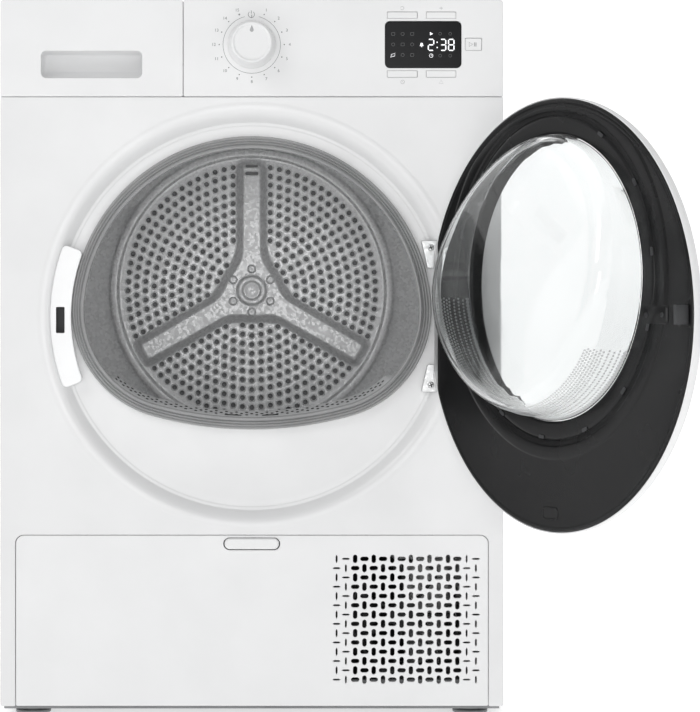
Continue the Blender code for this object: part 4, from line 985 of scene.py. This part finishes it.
# ------------------------------------------------------------------ door
# white outer ring
s = Shape()
NA = 180
prof = [(0.2010, 0.0160), (0.2040, 0.01585), (0.2100, 0.0150), (0.2180, 0.0135), (0.2250, 0.0114), (0.2310, 0.0088), (0.2345, 0.0063), (0.2366, 0.0038), (0.2377, 0.0012), (0.2380, -0.0015),
        (0.2380, -0.0057), (0.2376, -0.0063), (0.2366, -0.0062), (0.2364, -0.0055), (0.2364, 0.0010), (0.2350, 0.0036), (0.2295, 0.0072), (0.2170, 0.0110), (0.2045, 0.0128), (0.2010, 0.0130)]


def squashed(x, y, lim, band=0.099):
    """the ring's edge is cut back behind the hinge"""
    if x > lim and abs(y) < band:
        return lim
    return x


rings = []
for r, n in prof:
    pts = []
    for i in range(NA):
        a = 2 * PI * i / NA
        x, y = r * math.cos(a), r * math.sin(a)
        lim = 0.2268
        if x > lim:
            x = lim
        pts.append((x, y, n))
    rings.append(s.ring(pts))
for a, b in zip(rings, rings[1:]):
    s.bridge(a, b)
s.bridge(rings[-1], rings[0])
place(s.make("door_ring", "case", door_out(0.0), sharp=50), "door", "white_plastic", "door_cover")

# outer pane: a black printed border round a clear middle that sits over the window
UP = 0.041
s = Shape()


def pane_ring(t, sink):
    """t from 0 at the clear middle's edge to 1 at the rim"""
    pts = []
    for i in range(120):
        a = 2 * PI * i / 120
        A, B = Vector((0.1605 * math.cos(a), 0.0335 + 0.1605 * math.sin(a))), Vector((0.2003 * math.cos(a), 0.2003 * math.sin(a)))
        p = A.lerp(B, t)
        pts.append((p.x, p.y, 0.0210 - 0.1267 * (p.length ** 2) - sink))
    return s.ring(pts)


def pane_middle(k, sink):
    pts = []
    for i in range(120):
        a = 2 * PI * i / 120
        p = Vector((0.1605 * k * math.cos(a), 0.0335 + 0.1605 * k * math.sin(a)))
        pts.append((p.x, p.y, 0.0210 - 0.1267 * (p.length ** 2) - sink))
    return s.ring(pts)


for sink in (0.0, 0.0029):
    mid = [pane_middle(k, sink) for k in (0.15, 0.4, 0.65, 0.85, 1.0)]
    for p, q in zip(mid, mid[1:]):
        s.bridge(p, q, 1)
    s.tip(mid[0], (0, 0.0335, 0.0210 - 0.1267 * 0.0335 ** 2 - sink), 1)
    rim = [mid[-1]] + [pane_ring(t, sink) for t in (0.25, 0.5, 0.75, 0.95, 1.0)]
    for p, q in zip(rim, rim[1:]):
        s.bridge(p, q, 0)
    if sink:
        s.bridge(last, rim[-1], 0)
    last = rim[-1]
place(s.make("door_pane", ["black", "pane"], door_out(0.0), sharp=50), "door", "clear_plastic", "door_glass")

# black inner moulding, seen from the drum side: local +Z towards the drum, +X towards the free edge
s = Shape()
LIM = -0.2185
NR = 200


def liner_loop(r):
    out = []
    for i in range(NR):
        a = 2 * PI * i / NR
        out.append(Vector((max(LIM + (0.236 - r) * 0.6, r * math.cos(a)), r * math.sin(a))))
    return out


def about(cx, cy, r):
    return [Vector((cx + r * math.cos(2 * PI * i / NR), cy + r * math.sin(2 * PI * i / NR))) for i in range(NR)]


seq = []
for r, h in ((0.2358, -0.0078), (0.2360, -0.0010), (0.2357, 0.0000), (0.2350, 0.0006), (0.2338, 0.0008), (0.2322, 0.0008), (0.2312, 0.0004), (0.2300, 0.0001)):
    seq.append(s.ring([(p.x, p.y, h) for p in liner_loop(r)]))
for a, b in zip(seq, seq[1:]):
    s.bridge(a, b)
outer_ring = seq[-1]
win = []
for r, h in ((0.1995, 0.0001), (0.1990, 0.0001), (0.1982, 0.0004), (0.1972, 0.0009), (0.1955, 0.0011), (0.1850, 0.0013), (0.1842, 0.0011), (0.1834, 0.0005), (0.1826, 0.0003), (0.1780, 0.0003), (0.1772, 0.0000),
             (0.1767, -0.0008), (0.1762, -0.0008), (0.1757, 0.0), (0.1750, 0.0004), (0.1720, 0.0005), (0.1600, 0.0005), (0.1580, 0.0003), (0.1568, -0.0004), (0.1565, -0.0014), (0.1565, -0.0078)):
    # the wider rings don't fit over the top edge, so they are pulled in there
    pts = []
    for p in about(0, UP, r):
        lim = 0.2285
        d = math.hypot(p.x, p.y)
        if d > lim - (0.1995 - r) * 0.4:
            k = (lim - (0.1995 - r) * 0.4) / d
            p = Vector((p.x * k, p.y * k))
        pts.append((p.x, p.y, h))
    win.append(s.ring(pts))
for a, b in zip(win, win[1:]):
    s.bridge(a, b)
s.fill([outer_ring, win[0]])
# back skin
s.fill([seq[0], win[-1]])
# clips round the window
for k in range(14):
    a = rad(8 + 360 * k / 14)
    ux, uy = math.cos(a), math.sin(a)
    if UP + 0.176 * uy > 0.205:
        continue
    c = Vector((0.1745 * ux, UP + 0.1745 * uy))
    t = Vector((-uy, ux))
    n = Vector((ux, uy))
    corners = [c - t * 0.0042 - n * 0.0016, c - t * 0.0042 + n * 0.0016, c + t * 0.0042 + n * 0.0016, c + t * 0.0042 - n * 0.0016]
    lp = soften([tuple(q) for q in corners][::-1], 0.0008, 3)
    ra = [s.ring([(p.x, p.y, h) for p in offset(lp, d)]) for d, h in ((0, 0.0001), (0.0001, 0.0010), (0.0004, 0.0013))]
    s.bridge(ra[0], ra[1], 1)
    s.bridge(ra[1], ra[2], 1)
    s.face(ra[2], 1)
# catch boss on the free edge, hinge-local x -0.420...-0.383 -> about the door centre 0.160...0.197
boss = rounded(0.1600, -0.0093, 0.1970, 0.0093, 0.0030, 5)
ra = [s.ring([(p.x, p.y, h) for p in offset(boss, d)]) for d, h in ((-0.0010, 0.0004), (0, 0.0012), (0.0004, 0.0021), (0.0010, 0.0024))]
for a, b in zip(ra, ra[1:]):
    s.bridge(a, b)
s.face(ra[-1])
for x in (0.1660, 0.1910):
    screw(s, x, 0.0, 0.0026, 0.0023, 2, 2)
# drain recess near the bottom
rec = rounded(-0.0255 + 0.012, -0.2225, 0.0015 + 0.012, -0.2095, 0.0040, 5)
ra = [s.ring([(p.x, p.y, h) for p in offset(rec, d)]) for d, h in ((-0.0006, 0.0002), (0, 0.0009), (0.0006, 0.0009), (0.0010, 0.0003))]
for a, b in zip(ra, ra[1:]):
    s.bridge(a, b)
s.face(ra[-1])
place(s.make("door_inner_moulding", ["black", "black_matt", "black_matt"], door_in(-0.0070), sharp=40), "door", "black_plastic", "door_liner")

# strike hook
s = Shape()
lo_x, hi_x = 0.2235, 0.2305
hook = [(lo_x, 0.0), (hi_x, 0.0), (hi_x, 0.0120), (hi_x + 0.0000, 0.0166), (lo_x + 0.0030, 0.0166), (lo_x - 0.0004, 0.0132), (lo_x + 0.0020, 0.0108), (lo_x, 0.0070)]
lp = soften(hook, 0.0009, 3)
a = s.ring([(p.x, -0.0100, p.y) for p in offset(lp, 0.0005)])
b = s.ring([(p.x, -0.0095, p.y) for p in lp])
c = s.ring([(p.x, 0.0095, p.y) for p in lp])
d = s.ring([(p.x, 0.0100, p.y) for p in offset(lp, 0.0005)])
for p, q in ((a, b), (b, c), (c, d)):
    s.bridge(p, q)
s.fill([a], plane=(0, 2))
s.fill([d], plane=(0, 2))
place(s.make("door_hook", "black_matt", door_in(-0.0074), sharp=45), "door", node_slot["door_strike"], "door_strike")

# window bowl: one clear moulding, a wedge that is deep at the bottom
bowl_rings = [(0.1558, 0.1558, 0.0, 0.0), (0.1556, 0.1530, 0.0012, 0.0050), (0.1550, 0.1500, 0.006, 0.030), (0.1544, 0.1455, 0.0088, 0.0450), (0.1530, 0.1400, 0.011, 0.056),
              (0.1492, 0.1355, 0.0128, 0.0602), (0.1440, 0.1300, 0.014, 0.062), (0.1330, 0.1200, 0.0143, 0.0622), (0.1150, 0.1040, 0.0145, 0.0622), (0.0900, 0.0820, 0.0146, 0.0622), (0.0600, 0.0550, 0.0147, 0.0621), (0.0300, 0.0280, 0.0148, 0.0620)]


def bowl_point(a, ring, grow):
    rs, rl, dmin, dmax = ring
    low = max(0.0, -math.sin(a))
    r = rs + (rl - rs) * low ** 1.2 + grow
    t = min(1.0, (1 - r * math.sin(a) / 0.1558) / 2 / 0.69)
    k = 0.10 + 0.90 * math.sin(t * PI / 2) ** 1.35
    return r * math.cos(a), r * math.sin(a), dmin + (dmax - dmin) * k


s = Shape()
NB = 144
outs, ins = [], []
for ring in bowl_rings:
    outs.append(s.ring([bowl_point(2 * PI * i / NB, ring, 0.0) for i in range(NB)]))
for a, b in zip(outs, outs[1:]):
    s.bridge(a, b)
cz = sum(bowl_point(2 * PI * i / NB, bowl_rings[-1], 0)[2] for i in range(NB)) / NB
s.tip(outs[-1], (0, 0, cz))
for ring in bowl_rings:
    pts = []
    for i in range(NB):
        x, y, z = bowl_point(2 * PI * i / NB, ring, -0.0028)
        pts.append((x, y, z - 0.0028 if ring[2] > 0.0001 else z))
    ins.append(s.ring(pts))
for a, b in zip(ins, ins[1:]):
    s.bridge(a, b)
s.tip(ins[-1], (0, 0, cz - 0.0028))
s.bridge(outs[0], ins[0])
place(s.make("window_bowl", "clear", door_in(-0.0062, UP), sharp=60), "door", "clear_plastic", "door_bowl")

# dotted frit on the bowl's lower wall, just inside the clear moulding
s = Shape()
for row in range(13):
    u = 0.10 + 0.80 * row / 12
    for k in range(96):
        a = rad(-172 + 142 * (k + (0.5 if row % 2 else 0)) / 96)
        i0 = min(3, int(u * 4))
        f = u * 4 - i0
        A = Vector(bowl_point(a, bowl_rings[i0], 0.00012))
        B = Vector(bowl_point(a, bowl_rings[i0 + 1], 0.00012))
        c = A.lerp(B, f)
        d = (B - A).normalized()
        A2 = Vector(bowl_point(a + 0.02, bowl_rings[i0], 0.00012))
        B2 = Vector(bowl_point(a + 0.02, bowl_rings[i0 + 1], 0.00012))
        t = (A2.lerp(B2, f) - c).normalized()
        if (B - A).length < 0.002:
            continue
        q = 0.00150
        s.face(s.ring([c + t * (q * math.cos(i * PI / 3)) + d * (q * math.sin(i * PI / 3)) for i in range(6)]))
place(s.make("bowl_print", "frost", door_in(-0.0062, UP), sharp=180), "door", "clear_plastic")

# ------------------------------------------------------------------ worktop
s = Shape()
top = rounded(-0.298, -0.2865, 0.298, 0.302, (0.004, 0.006, 0.006, 0.004), 6)
plate(s, top, [], 0.0155, 0.0028, steps=5)
place(s.make("worktop", "enamel", Matrix.Translation((0, 0, 0.841))), "cabinet", "white_enamel", "top_panel")


# ------------------------------------------------------------------ side walls with their pressed fields
def soft_box(u, v, cu, cv, hu, hv, r, ramp):
    qx, qy = abs(u - cu) - hu + r, abs(v - cv) - hv + r
    d = math.hypot(max(qx, 0), max(qy, 0)) + min(max(qx, qy), 0) - r
    t = min(1, max(0, -d / ramp))
    return t * t * (3 - 2 * t)


for side, name in ((-1, "side_panel_left"), (1, "side_panel_right")):
    s = Shape()
    y0, y1, zb, zt = -0.2975, 0.2965, 0.0045, 0.8245
    us = sorted(set([y0, y0 + 0.0008, y1 - 0.0008, y1] + [round(y0 + (y1 - y0) * i / 96, 5) for i in range(1, 96)]))
    vs = sorted(set([zb, zb + 0.0008, zt - 0.0008, zt] + [round(zb + (zt - zb) * i / 120, 5) for i in range(1, 120)]))
    grid = []
    for v in vs:
        row = []
        for u in us:
            d = 0.0014 * soft_box(u, v, 0.0, 0.42, 0.215, 0.300, 0.03, 0.012)
            d -= 0.0011 * soft_box(u, v, 0.0, 0.42, 0.180, 0.265, 0.02, 0.012)
            for q in (-0.09, 0.0, 0.09):
                d += 0.0011 * soft_box(u, v, q, 0.42, 0.012, 0.215, 0.0115, 0.008)
            if u in (y0, y1) or v in (zb, zt):
                d += 0.0006
            x = side * (0.298 - d)
            yy = u
            if v > 0.7263 and u < -0.2885:
                yy = -0.2885
            row.append((x, yy, v))
        grid.append(s.ring(row))
    for a, b in zip(grid, grid[1:]):
        s.bridge(a, b, closed=False)
    border = grid[0] + [g[-1] for g in grid[1:]] + grid[-1][-2::-1] + [g[0] for g in grid[-2:0:-1]]
    back = s.ring([(side * 0.2962, s.v[i][1], s.v[i][2]) for i in border])
    s.bridge(border, back)
    s.face(back)
    o = s.make(name.replace("side_panel", "side_wall"), "enamel", sharp=50)
    place(o, "cabinet", "white_enamel", name)

# ------------------------------------------------------------------ rear wall
s = Shape()
back_to = Matrix.Translation((0, 0.300, 0)) @ Matrix.Rotation(PI, 4, "Z") @ Matrix.Rotation(PI / 2, 4, "X")
holes = []
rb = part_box("rear_panel")
inlet_lo, inlet_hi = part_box("mains_inlet")
for k in range(6):
    z = 0.075 + (0.177 - 0.075) * k / 5
    holes.append(rounded(-0.25, z - 0.0040, -0.12, z + 0.0040, 0.0038, 5))
holes.append(rounded(-inlet_hi.x - 0.0005, inlet_lo.z - 0.0005, -inlet_lo.x + 0.0005, inlet_hi.z + 0.0005, 0.002, 3))
plate(s, rounded(rb[0].x, rb[0].z, rb[1].x, rb[1].z, 0.003, 4), holes, 0.0022, 0.0008, 0.0004)
# pressed ring over the air duct, ribs and screws
lathe(s, [(0.245, 0.0), (0.243, 0.0010), (0.239, 0.0016), (0.232, 0.0016), (0.228, 0.0010), (0.226, 0.0)], 96, 0, 0.0, DRUM_Z)
lathe(s, [(0.075, 0.0), (0.073, 0.0009), (0.070, 0.0014), (0.060, 0.0014), (0.057, 0.0009), (0.055, 0.0)], 64, 0, 0.0, DRUM_Z)
for k in range(6):
    a = rad(30 + 60 * k)
    u = Vector((math.cos(a), math.sin(a)))
    n = Vector((-u.y, u.x))
    c0, c1 = Vector((0, DRUM_Z)) + u * 0.095, Vector((0, DRUM_Z)) + u * 0.205
    lp = [c0 - n * 0.008, c1 - n * 0.008, c1 + n * 0.008, c0 + n * 0.008]
    lp = soften([tuple(p) for p in lp], 0.0075, 5)
    ra = [s.ring([(p.x, p.y, h) for p in offset(lp, d)]) for d, h in ((0, 0.0), (0.0016, 0.0010), (0.0034, 0.0014))]
    s.bridge(ra[0], ra[1])
    s.bridge(ra[1], ra[2])
    s.fill([ra[2]])
# screws along the edges, their cross recesses coloured as painted shade
for x in (-0.283, -0.142, 0.0, 0.142, 0.283):
    for z in (0.022, 0.815):
        screw(s, x, z, 0.0040, 0.0, 1, 2)
for z in (0.22, 0.42, 0.62):
    for x in (-0.283, 0.283):
        screw(s, x, z, 0.0040, 0.0, 1, 2)
place(s.make("rear_wall", ["zinc", "screw", "painted_slot_shade"], back_to, sharp=45), "cabinet", node_slot["rear_panel"], "rear_panel")

# ------------------------------------------------------------------ feet
for sx, nx in ((-1, "left"), (1, "right")):
    for sy, ny in ((-1, "front"), (1, "rear")):
        s = Shape()
        lathe(s, [(0, -0.0080), (0.0190, -0.0080), (0.0203, -0.0077), (0.0210, -0.0070), (0.0210, -0.0046), (0.0204, -0.0040), (0.0180, -0.0036), (0.0120, -0.0034), (0.0118, -0.0005), (0, -0.0004)], 48)
        o = s.make(f"levelling_foot_{ny}_{nx}", "grey", Matrix.Translation((sx * 0.262, sy * 0.262, 0)), sharp=45)
        place(o, "cabinet", node_slot[f"foot_{ny}_{nx}"], f"foot_{ny}_{nx}")

# ------------------------------------------------------------------ floor, light, camera
s = Shape()
rows = []
prof = [(-24.0, 0.0), (-4.0, 0.0), (3.0, 0.0)] + [(3.0 + 1.2 * math.sin(rad(a)), 1.2 - 1.2 * math.cos(rad(a))) for a in range(10, 91, 10)] + [(4.2, 5.0)]
for y, z in prof:
    rows.append(s.ring([(-18, y, z - 0.0081), (-6, y, z - 0.0081), (6, y, z - 0.0081), (18, y, z - 0.0081)]))
for a, b in zip(rows, rows[1:]):
    s.bridge(a, b, closed=False)
M["floor"] = finish("pale_studio_floor", (0.93, 0.93, 0.93), (0.915, 0.915, 0.915), (0.75, 0.85), fine=60, bump=0.02)
glow_floor = M["floor"].node_tree.nodes["Principled BSDF"]
glow_floor.inputs["Emission Color"].default_value = (1, 1, 1, 1)
glow_floor.inputs["Emission Strength"].default_value = 0.50
fl = s.make("studio_sweep", "floor", sharp=180)

scene = bpy.context.scene
scene.view_settings.view_transform = "Standard"
w = bpy.data.worlds.new("studio")
scene.world = w
w.use_nodes = True
w.node_tree.nodes["Background"].inputs[0].default_value = (1, 1, 1, 1)
w.node_tree.nodes["Background"].inputs[1].default_value = 0.45


def area(name, loc, target, size, power, sy=None):
    l = bpy.data.lights.new(name, "AREA")
    l.energy = power
    l.size = size
    if sy:
        l.shape = "RECTANGLE"
        l.size_y = sy
    o = bpy.data.objects.new(name, l)
    o.location = loc
    o.rotation_euler = (Vector(target) - Vector(loc)).to_track_quat("-Z", "Y").to_euler()
    scene.collection.objects.link(o)


area("key_softbox", (-2.1, -2.3, 2.7), (0, 0, 0.45), 1.6, 28)
area("right_fill", (2.6, -2.2, 1.2), (0, 0, 0.45), 2.0, 6.5)
area("top_softbox", (0, 0.6, 3.0), (0, 0, 0.4), 2.6, 10)
area("drum_fill", (0.0, -2.7, 0.62), (0, 0, 0.5), 0.9, 8.5)

cam = bpy.data.cameras.new("front_camera")
cam.sensor_width = 36
cam.sensor_fit = "AUTO"
cam.lens = 113.4
cam.shift_x = 0.138
cam.shift_y = -0.043
cam.clip_end = 50
co = bpy.data.objects.new("front_camera", cam)
co.location = (0, -2.956, 0.4556)
co.rotation_euler = (PI / 2, 0, 0)
scene.collection.objects.link(co)
scene.camera = co

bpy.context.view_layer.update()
